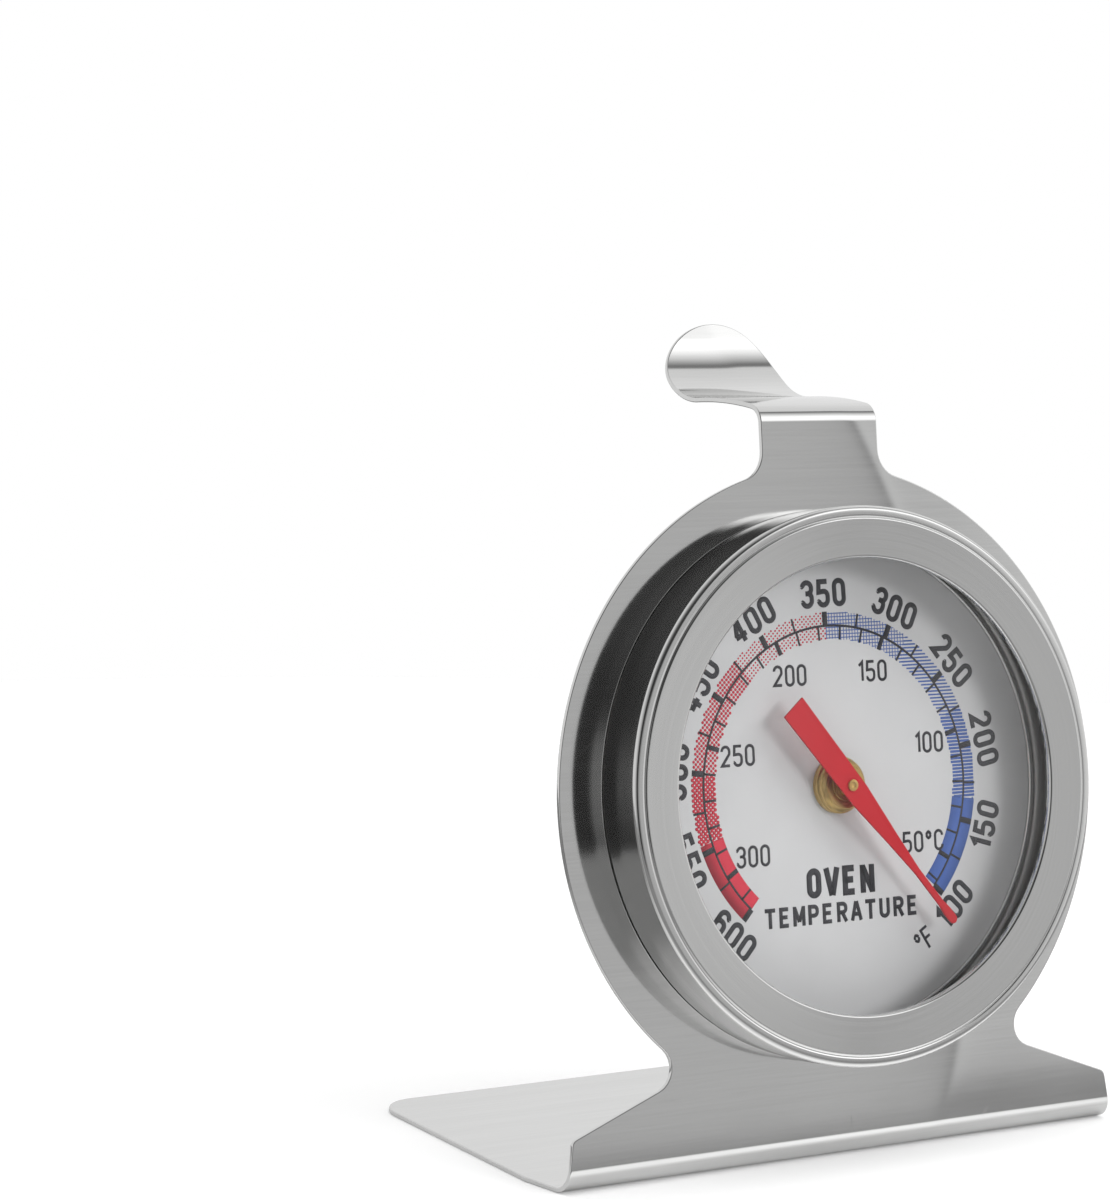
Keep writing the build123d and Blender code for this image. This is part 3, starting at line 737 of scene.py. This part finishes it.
def buildRivets(d):
    # a shank between two domes, turned about its own axis and repeated round the case's shoulder
    quarter = np.linspace(0.05, math.pi / 2, 7)
    dome = np.stack([d["head"] * np.sin(quarter), d["dome"] * np.cos(quarter)], -1)
    shank = [[d["shank"], d["back"]], [d["shank"], d["front"]]]
    section = np.vstack([dome * [1, -1] + [0, d["back"]], shank, dome[::-1] + [0, d["front"]]])
    verts, faces = turned(section, 28, closed=False)
    places = [math.radians(d["start"] + 360 / d["count"] * i) for i in range(d["count"])]
    parts = [(verts + [d["circle"] * math.cos(a), d["circle"] * math.sin(a), 0], faces) for a in places]
    return addPiece("caseRivets", parts, "stand", rivetSteel, ("case_rivets",))


buildSnapRing(snapRing)
buildRivets(rivets)


# the movement in front of the dial
print("hub and needle")
hub = dict(stepRadius=2.95, stepTop=0.25, flange=2.75, flangeTop=1.1, chamfer=0.35, shank=1.5, rear=-2.9,
           dialFace=-0.5, bore=0.6, recess=1.4, recessDepth=0.08)


def buildHub(d):
    # (point of the section, turn) -> a bush with a step against the dial, a chamfered flange and a
    # shallow recess round its bore
    recessFloor = d["flangeTop"] - d["recessDepth"]
    section = roundedLine([
        (d["bore"], d["rear"], 0), (d["shank"], d["rear"], 0.1), (d["shank"], d["dialFace"], 0),
        (d["stepRadius"], d["dialFace"], 0.04), (d["stepRadius"], d["stepTop"], 0.08),
        (d["flange"], d["stepTop"] + 0.02, 0), (d["flange"], d["flangeTop"] - d["chamfer"], 0.12),
        (d["flange"] - d["chamfer"], d["flangeTop"], 0.12), (d["recess"] + 0.1, d["flangeTop"], 0.05),
        (d["recess"], recessFloor, 0.05), (d["bore"], recessFloor, 0),
    ], True, 4)
    piece = addPiece("hubBush", [turned(section, 96)], "stand", turnedBrass, ("hub_bush",))
    return evenShading(piece)


buildHub(hub)
thrust = dict(outer=1.6, inner=0.6, low=1.1, high=1.25, soft=0.03)
thrustPart = turned(ringSection(**thrust), 64)
addPiece("thrustWasher", [thrustPart], "stand", turnedBrass, ("thrust_washer",))

needle = dict(
    angle=140.5, back=2.1, front=2.35, soft=0.05, tail=10.8, tailHalf=1.5, shoulder=1.4, shoulderHalf=1.3,
    root=7.6, rootHalf=0.72, bladeAt=12.2, bladeHalf=0.36, spadeAt=16.8, spadeHalf=0.5, length=19.5,
)


def buildPointer(d):
    # (station, turn round the section) -> a flat section with rounded edges, whose half width follows
    # the pointer's outline
    outline = roundedLine([
        (-d["tail"], d["tailHalf"], 0), (d["shoulder"], d["shoulderHalf"], 1.5),
        (d["root"], d["rootHalf"], 4.0), (d["bladeAt"], d["bladeHalf"], 4.0),
        (d["spadeAt"], d["bladeHalf"], 0.6), (d["spadeAt"] + 1, d["spadeHalf"], 0.5),
        (d["length"] - d["spadeHalf"], d["spadeHalf"], 0),
    ], False, 5)
    nose = np.linspace(0, 0.97 * math.pi / 2, 8)[1:]
    tipX = d["length"] - d["spadeHalf"] * (1 - np.sin(nose))
    outline = np.vstack([outline, np.stack([tipX, d["spadeHalf"] * np.cos(nose)], -1)])
    ease = np.linspace(0, math.pi / 2, 4)                   # rounds the tail's end face
    rear = np.stack([-d["tail"] + d["soft"] * (1 - np.cos(ease)),
                     d["tailHalf"] - d["soft"] * (1 - np.sin(ease))], -1)
    stations = np.vstack([rear[:-1], [[-d["tail"] + d["soft"], d["tailHalf"]]], outline[1:]])
    thick = np.full(len(stations), (d["front"] - d["back"]) / 2)
    thick[:3] -= d["tailHalf"] - rear[:3, 1]
    corner = np.linspace(0, math.pi / 2, 4)
    quarter = np.stack([np.cos(corner), np.sin(corner)], -1)
    signs = ((1, 1), (-1, 1), (-1, -1), (1, -1))
    ringAcross, ringUp = [], []
    for i, (sx, sy) in enumerate(signs):
        arc = quarter if i % 2 == 0 else quarter[::-1]
        r = np.minimum(d["soft"], stations[:, 1] * 0.9)[:, None]
        ringAcross.append(sx * (stations[:, 1:] - r + r * arc[:, 0]))
        ringUp.append(sy * (thick[:, None] - d["soft"] + d["soft"] * arc[:, 1]))
    acrossAll, upAll = np.hstack(ringAcross), np.hstack(ringUp)
    turnBy = math.radians(90 - d["angle"])
    alongAll = stations[:, :1] + 0 * acrossAll
    x = alongAll * math.cos(turnBy) - acrossAll * math.sin(turnBy)
    y = alongAll * math.sin(turnBy) + acrossAll * math.cos(turnBy)
    points = np.stack([x, y, (d["front"] + d["back"]) / 2 + upAll], -1)
    piece = addPiece("redPointer", [gridFaces(points)], "needle", pointerRed, ("pointer",))
    return evenShading(piece)


spindle = dict(rear=-5.3, radius=0.55, head=0.62, headLow=2.42, headTop=2.55, dimple=0.3, dimpleDepth=0.08)


def buildSpindle(d):
    # (point of the section, turn) -> a pin with a small riveted head, dimpled at its end
    floor = d["headTop"] + 0.01 - d["dimpleDepth"]
    section = roundedLine([
        (0.02, d["rear"], 0), (d["radius"], d["rear"], 0.08), (d["radius"], d["headLow"], 0.05),
        (d["head"], d["headLow"], 0.05), (d["head"] - 0.02, d["headTop"], 0.07),
        (d["dimple"], d["headTop"] + 0.01, 0.05), (d["dimple"] - 0.04, floor + 0.02, 0.05), (0.02, floor, 0),
    ], False, 4)
    pin = turned(section, 48, closed=False)
    return evenShading(addPiece("spindlePin", [pin], "needle", brassPaintedHighlight, ("spindle",)))


buildPointer(needle)
buildSpindle(spindle)
boss = dict(bore=0.55, foot=1.0, radius=1.15, low=1.37, shoulder=1.6, high=2.1)
bossSection = roundedLine([
    (boss["bore"], boss["low"], 0), (boss["foot"], boss["low"], 0.05),
    (boss["radius"], boss["shoulder"], 0.1), (boss["radius"], boss["high"], 0.05),
    (boss["bore"], boss["high"], 0),
], True, 3)
addPiece("pointerBoss", [turned(bossSection, 64)], "needle", turnedBrass, ("pointer_boss",))

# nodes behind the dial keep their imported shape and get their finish
hidden = dict(
    bush_washer=washerSteel, bush_nut=milledBrass, bimetal_coil=bimetalStrip, coil_anchor=anchorSteel,
    anchor_rivet=rivetSteel, coil_end_rivet=rivetSteel, spindle_clip=clipSteel, coil_collet=turnedBrass,
)
for nodeName, finish in hidden.items():
    for place in frame["nodes"][nodeName].material_slots:
        place.material = finish


# the dial's print
print("dial print")
# each glyph is a few strokes on a box w wide and 1 high; a point is (x share, y, rounding)
rd = 0.5          # rounding of a full end, as a share of the box's width
glyphs = {
    "0": [("loop", [(0, 0, rd), (1, 0, rd), (1, 1, rd), (0, 1, rd)])],
    "1": [("line", [(0.15, 0.8, 0), (0.62, 1, 0), (0.62, 0, 0)])],
    "2": [("line", [(0, 0.76, 0), (0, 1, rd), (1, 1, rd), (1, 0.62, 0.3), (0, 0.02, 0), (1.03, 0.02, 0)])],
    "3": [("line", [(0, 0.8, 0), (0, 1, rd), (1, 1, rd), (1, 0.53, 0.4), (0.35, 0.53, 0)]),
          ("line", [(0.35, 0.53, 0), (1, 0.53, 0.4), (1, 0, rd), (0, 0, rd), (0, 0.2, 0)])],
    "4": [("line", [(0.66, 1, 0), (0.02, 0.27, 0)]), ("line", [(-0.1, 0.24, 0), (1.15, 0.24, 0)]),
          ("line", [(0.72, 1.05, 0), (0.72, -0.05, 0)])],
    "5": [("line", [(1, 1, 0), (0.08, 1, 0), (0.02, 0.56, 0), (1, 0.6, 0.42), (1, 0, rd), (0, 0, rd),
                    (0, 0.2, 0)])],
    "6": [("line", [(1, 0.8, 0), (1, 1, rd), (0, 1, rd), (0, 0.4, 0)]),
          ("loop", [(0, 0, rd), (1, 0, rd), (1, 0.58, 0.45), (0, 0.58, 0.45)])],
    "C": [("line", [(1, 0.74, 0), (1, 1, rd), (0, 1, rd), (0, 0, rd), (1, 0, rd), (1, 0.26, 0)])],
    "F": [("line", [(1, 1, 0), (0, 1, 0), (0, -0.03, 0)]), ("line", [(0, 0.52, 0), (0.85, 0.52, 0)])],
    "*": [("loop", [(0, 0.62, rd), (0.62, 0.62, rd), (0.62, 1, rd), (0, 1, rd)])],
    "O": [("loop", [(0, 0, rd), (1, 0, rd), (1, 1, rd), (0, 1, rd)])],
    "V": [("line", [(-0.1, 1.1, 0), (0.46, -0.08, 0)]), ("line", [(1.1, 1.1, 0), (0.54, -0.08, 0)])],
    "E": [("line", [(1, 1, 0), (0, 1, 0), (0, 0, 0), (1, 0, 0)]), ("line", [(0, 0.52, 0), (0.88, 0.52, 0)])],
    "N": [("line", [(0, -0.1, 0), (0, 1.1, 0)]), ("line", [(0, 1.05, 0), (1, -0.05, 0)]),
          ("line", [(1, -0.1, 0), (1, 1.1, 0)])],
    "T": [("line", [(-0.2, 1, 0), (1.2, 1, 0)]), ("line", [(0.5, 1, 0), (0.5, -0.1, 0)])],
    "M": [("line", [(-0.1, -0.1, 0), (-0.1, 1.1, 0)]), ("line", [(-0.1, 1.05, 0), (0.5, 0.15, 0)]),
          ("line", [(1.1, 1.05, 0), (0.5, 0.15, 0)]), ("line", [(1.1, -0.1, 0), (1.1, 1.1, 0)])],
    "P": [("line", [(0, -0.1, 0), (0, 1, 0), (1, 1, 0.42), (1, 0.45, 0.42), (0, 0.45, 0)])],
    "R": [("line", [(0, -0.1, 0), (0, 1, 0), (1, 1, 0.42), (1, 0.48, 0.42), (0, 0.48, 0)]),
          ("line", [(0.5, 0.48, 0), (1.05, -0.1, 0)])],
    "A": [("line", [(-0.1, -0.1, 0), (0.46, 1.08, 0)]), ("line", [(1.1, -0.1, 0), (0.54, 1.08, 0)]),
          ("line", [(0.14, 0.3, 0), (0.86, 0.3, 0)])],
    "U": [("line", [(0, 1.1, 0), (0, 0, rd), (1, 0, rd), (1, 1.1, 0)])],
}
ink = dict(low=-0.503, high=-0.488, darkHigh=-0.484)
scale = dict(
    ringRadius=16.4, lineWidth=0.24, outerTick=17.85, innerTick=14.95, thickTick=0.62, thinTick=0.24,
    lowDegrees=100, highDegrees=600, topDegrees=350, sweep=270.0, shift=-1.68, bandIn=14.95, bandOut=17.85,
)


def atDegreesF(value):
    # the scale runs counter-clockwise: hotter is further to the left
    share = (scale["topDegrees"] - value) / (scale["highDegrees"] - scale["lowDegrees"])
    return share * scale["sweep"] + scale["shift"]


def atDegreesC(value):
    return atDegreesF(value * 9 / 5 + 32)


def lettering(text, height, width, gap, weight, x, y, turnBy=0.0):
    # the strokes of one word, centred on (x, y) and turned clockwise by turnBy; height is over the
    # strokes' outside, and each stroke is a ribbon along its rounded line
    core = height - weight
    widths = [0.62 * width if letter in "1*" else width for letter in text]
    starts = np.concatenate([[0], np.cumsum([w + weight + gap for w in widths])])
    parts = []
    a = math.radians(turnBy)
    spin = np.array([[math.cos(a), -math.sin(a)], [math.sin(a), math.cos(a)]])
    for letter, start in zip(text, starts):
        for kind, corners in glyphs[letter]:
            scaled = [(px * width, py * core, r * width * 0.999) for px, py, r in corners]
            path = roundedLine(scaled, kind == "loop", 6)
            path = path + [start - (starts[-1] - weight - gap) / 2, -core / 2]
            parts.append(stroke(path @ spin + [x, y], weight, ink["low"], ink["darkHigh"], kind == "loop"))
    return parts


def arcStroke(radius, width, start, end, high):
    # a ribbon along an arc from one angle to another
    angles = np.linspace(start, end, max(8, int(abs(end - start))))
    return stroke(dialPoint(angles, radius), width, ink["low"], high)


def tick(angle, inner, outer, width):
    # a ribbon along a radius
    return stroke(dialPoint(angle, np.array([inner, outer])), width, ink["low"], ink["darkHigh"])


def scatter(corners, centres, sizes, high):
    # one small convex outline at every centre, as prisms, in whole arrays
    corners = np.asarray(corners)
    n, count = len(corners), len(centres)
    flat = centres[:, None, :] + corners[None] * np.reshape(sizes, (count, -1, 2))
    layers = [np.concatenate([flat, np.full((count, n, 1), h)], -1) for h in (ink["low"], high)]
    verts = np.concatenate(layers, 1).reshape(-1, 3)
    k = np.arange(n)
    sides = np.stack([k, np.roll(k, -1), np.roll(k, -1) + n, k + n], -1)
    base = (np.arange(count) * 2 * n)[:, None]
    faces = (base[:, None] + sides[None]).reshape(-1, 4).tolist()
    faces += (base + np.arange(n)[::-1]).tolist() + (base + np.arange(n) + n).tolist()
    return verts, faces


def lattice(pitchX, pitchY, startF, endF, staggered):
    # points of a square or staggered lattice inside the printed band between two temperatures
    reach = scale["bandOut"] + 1
    nx, ny = int(reach / pitchX), int(reach / pitchY)
    j, i = np.mgrid[-ny:ny + 1, -nx:nx + 1]
    x = (i + (0.5 * (j % 2) if staggered else 0)) * pitchX
    y = j * pitchY + 0 * x
    radius, angle = np.hypot(x, y), np.degrees(np.arctan2(x, y))
    first, last = sorted((atDegreesF(startF), atDegreesF(endF)))
    inBand = (radius > scale["bandIn"] + 0.05) & (radius < scale["bandOut"] - 0.05)
    inside = inBand & (angle > first) & (angle < last)
    return np.stack([x[inside], y[inside]], -1)


def printScale(s):
    # ring line, degree ticks outside it in Fahrenheit and inside it in Celsius
    ends = atDegreesF(s["lowDegrees"]), atDegreesF(s["highDegrees"])
    parts = [arcStroke(s["ringRadius"], s["lineWidth"], *ends, ink["darkHigh"])]
    for value in range(s["lowDegrees"], s["highDegrees"] + 1, 25):
        wide = s["thickTick"] if value % 50 == 0 else s["thinTick"]
        parts.append(tick(atDegreesF(value), s["ringRadius"], s["outerTick"], wide))
    for value in range(40, 316, 10):
        wide = s["thickTick"] * 0.8 if value % 50 == 0 else s["thinTick"]
        parts.append(tick(atDegreesC(value), s["innerTick"], s["ringRadius"], wide))
    return parts


outerNumerals = dict(height=2.95, width=1.14, gap=0.34, weight=0.54)
innerNumerals = dict(height=2.25, width=0.9, gap=0.28, weight=0.3)
numeralPlace = dict(outer=19.75, inner=12.6, unitAt=72)
words = [
    dict(text="OVEN", height=3.1, width=1.15, gap=0.42, weight=0.68, x=0, y=-9.9),
    dict(text="TEMPERATURE", height=2.1, width=0.92, gap=0.46, weight=0.42, x=0, y=-13.1),
]


def printNumerals(d):
    # upper numerals stand with their tops outwards, lower ones with their tops inwards
    parts = []
    for value in range(100, 601, 50):
        angle = atDegreesF(value)
        x, y = dialPoint(angle, d["outer"])
        turnBy = angle if abs(angle) < 95 else angle - math.copysign(180, angle)
        parts += lettering(str(value), **outerNumerals, x=x, y=y, turnBy=turnBy)
    for value in range(50, 301, 50):
        x, y = dialPoint(atDegreesC(value), d["inner"])
        parts += lettering("50*C" if value == 50 else str(value), **innerNumerals, x=x, y=y)
    x, y = dialPoint(atDegreesF(d["unitAt"]), d["outer"])
    parts += lettering("*F", 2.4, 0.9, 0.25, 0.3, x, y, atDegreesF(d["unitAt"]) - 180)
    for word in words:
        parts += lettering(**word)
    return parts


addPiece("printDark", printScale(scale) + printNumerals(numeralPlace), "stand", inkDark)

# solid bands at the scale's ends, and halftones of dots and dashes that thin out towards its top
bandMiddle, bandWide = (scale["bandIn"] + scale["bandOut"]) / 2, scale["bandOut"] - scale["bandIn"]
octagon = dialPoint(np.arange(8) * 45.0 + 22.5, 1.0)
box = np.array([[-1, -1], [1, -1], [1, 1], [-1, 1]])
redDots = dict(pitchX=0.52, pitchY=0.26, zones=((350, 425, 0.11), (425, 500, 0.165), (500, 545, 0.2)))
blueDashes = dict(pitchX=0.18, pitchY=0.36, zones=(
    (165, 225, 0.09, 0.13), (225, 285, 0.09, 0.085), (285, 350, 0.09, 0.05)))
blueBars = dict(pitchX=0.36, pitchY=0.18, zones=((285, 350, 0.045, 0.09),))

redParts = [arcStroke(bandMiddle, bandWide, atDegreesF(545), atDegreesF(600), ink["high"])]
for startF, endF, size in redDots["zones"]:
    dots = lattice(redDots["pitchX"], redDots["pitchY"], startF, endF, True)
    redParts.append(scatter(octagon, dots, np.full((len(dots), 2), size), ink["high"]))
addPiece("printRed", redParts, "stand", inkRed)
blueParts = [arcStroke(bandMiddle, bandWide, atDegreesF(165), atDegreesF(100), ink["high"])]
for pattern in (blueDashes, blueBars):
    for startF, endF, wide, tall in pattern["zones"]:
        dashes = lattice(pattern["pitchX"], pattern["pitchY"], startF, endF, False)
        blueParts.append(scatter(box, dashes, np.tile([wide, tall], (len(dashes), 1)), ink["high"]))
addPiece("printBlue", blueParts, "stand", inkBlue)


# the studio: a pale floor, a world that the steel reflects, three soft lamps and the camera
print("studio")
# the far colour and the strip's glow are painted reflections, seen only by glossy rays
studioFloor = dict(radius=0.32, drop=0.00002, dark=(0.86, 0.86, 0.86), light=(0.9, 0.9, 0.9),
                   far=(0.25, 0.25, 0.25), farFrom=0.03, farTo=0.085, lift=0.2,
                   stripNear=(-0.0205, -0.0235), stripFar=(-0.046, -0.03), paintedHighlightGlow=0.38)


def makeFloorPaint(d):
    # pale paint with painted reflections: glossy rays see painted shade, a floor that darkens further out,
    # and a painted highlight, a glowing strip in front of the foot; camera rays see the floor lifted by an
    # even glow
    material, tree, shader = newMaterial("paleFloor")
    place = flatCoordinates(tree)
    rays = tree.nodes.new("ShaderNodeLightPath").outputs
    tint = blend(tree, noise(tree, place, 30.0, 5.0), d["dark"], d["light"])
    distance = addNode(tree, "ShaderNodeVectorMath", {0: place}, operation="LENGTH").outputs["Value"]
    # painted shade in reflections: the floor darkens with distance for glossy rays only
    paintedShadeMask = calc(tree, "MULTIPLY", remap(tree, distance, d["farFrom"], d["farTo"]), rays["Is Glossy Ray"])
    tree.links.new(blend(tree, paintedShadeMask, tint, d["far"]), shader.inputs["Base Color"])
    y = addNode(tree, "ShaderNodeSeparateXYZ", {0: place}).outputs["Y"]
    # painted highlight in reflections: a strip in front of the foot glows for glossy rays only
    strip = calc(tree, "MULTIPLY", remap(tree, y, *d["stripNear"]), remap(tree, y, *d["stripFar"]))
    strip = calc(tree, "MULTIPLY", calc(tree, "MULTIPLY", strip, d["paintedHighlightGlow"]), rays["Is Glossy Ray"])
    glow = calc(tree, "MULTIPLY_ADD", rays["Is Camera Ray"], d["lift"], strip)
    tree.links.new(glow, shader.inputs["Emission Strength"])
    shader.inputs["Emission Color"].default_value = (1, 1, 1, 1)
    shader.inputs["Roughness"].default_value = 0.9
    shader.inputs["Specular IOR Level"].default_value = 0.0
    return material


def buildFloor(d):
    # a flat disc just under the foot
    t = np.linspace(0, 2 * math.pi, 128, endpoint=False)
    rim = np.stack([d["radius"] * np.cos(t), d["radius"] * np.sin(t), 0 * t - d["drop"]], -1)
    mesh = bpy.data.meshes.new("paleFloor")
    mesh.from_pydata(rim.tolist(), [], [list(range(len(rim)))])
    mesh.materials.append(makeFloorPaint(d))
    floor = bpy.data.objects.new("paleFloor", mesh)
    bpy.context.scene.collection.objects.link(floor)


buildFloor(studioFloor)

world = bpy.data.worlds.new("studio")
bpy.context.scene.world = world
world.use_nodes = True
sky = world.node_tree
sky.nodes.clear()
skyPlace = sky.nodes.new("ShaderNodeTexCoord")
skyX, skyY, skyZ = addNode(sky, "ShaderNodeSeparateXYZ", {0: skyPlace.outputs["Generated"]}).outputs
toFront = calc(sky, "MULTIPLY", skyY, -1.0)


def ramp(tree, socket, low, high, stops):
    # stops are (value, brightness) between low and high
    made = addNode(tree, "ShaderNodeValToRGB", {"Fac": remap(tree, socket, low, high)})
    made.color_ramp.interpolation = "LINEAR"
    elements = made.color_ramp.elements
    while len(elements) < len(stops):
        elements.new(0.5)
    for element, (value, bright) in zip(elements, stops):
        element.position = (value - low) / (high - low)
        element.color = (bright, bright, bright, 1)
    return made.outputs["Color"]


# long soft panels over the right side, by the angle over the object: front horizon 0, zenith 90
overAngle = calc(sky, "DEGREES", calc(sky, "ARCTAN2", skyZ, toFront))
panels = ramp(sky, overAngle, -180, 180, [
    (-180, 0.8), (-90, 0.75), (-12, 0.5), (-3, 0.36), (14, 0.5), (19, 1.6), (38, 1.6), (70, 0.22),
    (74, 0.24), (77, 0.8), (130, 0.95), (180, 0.85),
])
# a dark corner of the room, at the front left, that ends at a paler wall further round
corner = ramp(sky, overAngle, -180, 180, [
    (-180, 0.8), (-90, 0.7), (-30, 0.2), (-8, 0.04), (32, 0.04), (52, 0.1), (75, 0.4), (110, 0.8), (180, 0.8),
])
paler = ramp(sky, skyX, -1, 1, [(-1, 0.85), (-0.75, 0.4), (-0.6, 0.2), (-0.55, 0.02), (0.2, 0.02)])
corner = calc(sky, "MAXIMUM", corner, paler)
over = blend(sky, remap(sky, skyX, 0.4, 0.5), corner, panels)
# near the horizon the brightness goes by bearing: front 0, right 90
bearing = calc(sky, "DEGREES", calc(sky, "ARCTAN2", skyX, toFront))
walls = ramp(sky, bearing, -180, 180, [
    (-180, 0.85), (-80, 0.8), (-37, 0.2), (-33.5, 0.03), (-15, 0.04), (14, 0.42), (35.0, 0.56),
    (36.3, 0.03), (37.4, 0.9), (39.4, 0.5), (41.2, 0.75), (60, 0.85), (180, 0.85),
])
rise = calc(sky, "DEGREES", calc(sky, "ARCSINE", skyZ))
nearHorizon = ramp(sky, rise, -90, 90, [(-90, 0), (-25, 0.0), (-10, 1.0), (10, 1.0), (22, 0.0), (90, 0)])
skyRays = sky.nodes.new("ShaderNodeLightPath")
seen = blend(sky, skyRays.outputs["Is Camera Ray"], blend(sky, nearHorizon, over, walls), (1, 1, 1))
background = addNode(sky, "ShaderNodeBackground", {"Color": seen})
addNode(sky, "ShaderNodeOutputWorld", {"Surface": background.outputs[0]})

lamps = [
    dict(name="keyLamp", bearing=22, rise=18, distance=0.8, size=0.26, power=1.9),
    dict(name="sideLamp", bearing=54, rise=32, distance=0.8, size=0.4, power=1.6),
    dict(name="topLamp", bearing=-20, rise=75, distance=0.9, size=0.8, power=3.2),
]


def outwardFrom(bearingDegrees, riseDegrees):
    # unit vector towards a bearing, front 0 and right 90, and a rise over the horizon
    a, e = math.radians(bearingDegrees), math.radians(riseDegrees)
    return Vector((math.sin(a) * math.cos(e), -math.cos(a) * math.cos(e), math.sin(e)))


def addLamp(d):
    # an area lamp aimed at the dial's middle; left out of reflections, which the world gives
    towards = outwardFrom(d["bearing"], d["rise"])
    data = bpy.data.lights.new(d["name"], "AREA")
    data.shape = "DISK"
    data.size = d["size"]
    data.energy = d["power"]
    lamp = bpy.data.objects.new(d["name"], data)
    lamp.location = Vector(headCentre) + towards * d["distance"]
    lamp.rotation_mode = "QUATERNION"
    lamp.rotation_quaternion = towards.to_track_quat("Z", "Y")
    lamp.visible_glossy = False
    lamp.visible_transmission = False
    bpy.context.scene.collection.objects.link(lamp)


for lampValues in lamps:
    addLamp(lampValues)

view = dict(bearing=-31.553, rise=7.012, roll=1.793, place=(-0.216634, -0.309756, 0.101223), lens=108.09)
turnRound, roll = math.radians(view["bearing"]), math.radians(view["roll"])
back = outwardFrom(view["bearing"], view["rise"])
level = Vector((math.cos(turnRound), math.sin(turnRound), 0))
right = level * math.cos(roll) + back.cross(level) * math.sin(roll)
cameraData = bpy.data.cameras.new("camera")
cameraData.lens = view["lens"]
cameraData.sensor_width = 36.0
cameraData.clip_start = 0.01
cameraData.clip_end = 10.0
camera = bpy.data.objects.new("camera", cameraData)
turnedAxes = Matrix((right, back.cross(right), back)).transposed().to_4x4()
camera.matrix_world = Matrix.Translation(view["place"]) @ turnedAxes
bpy.context.scene.collection.objects.link(camera)
bpy.context.scene.camera = camera
bpy.context.scene.view_settings.view_transform = "Standard"
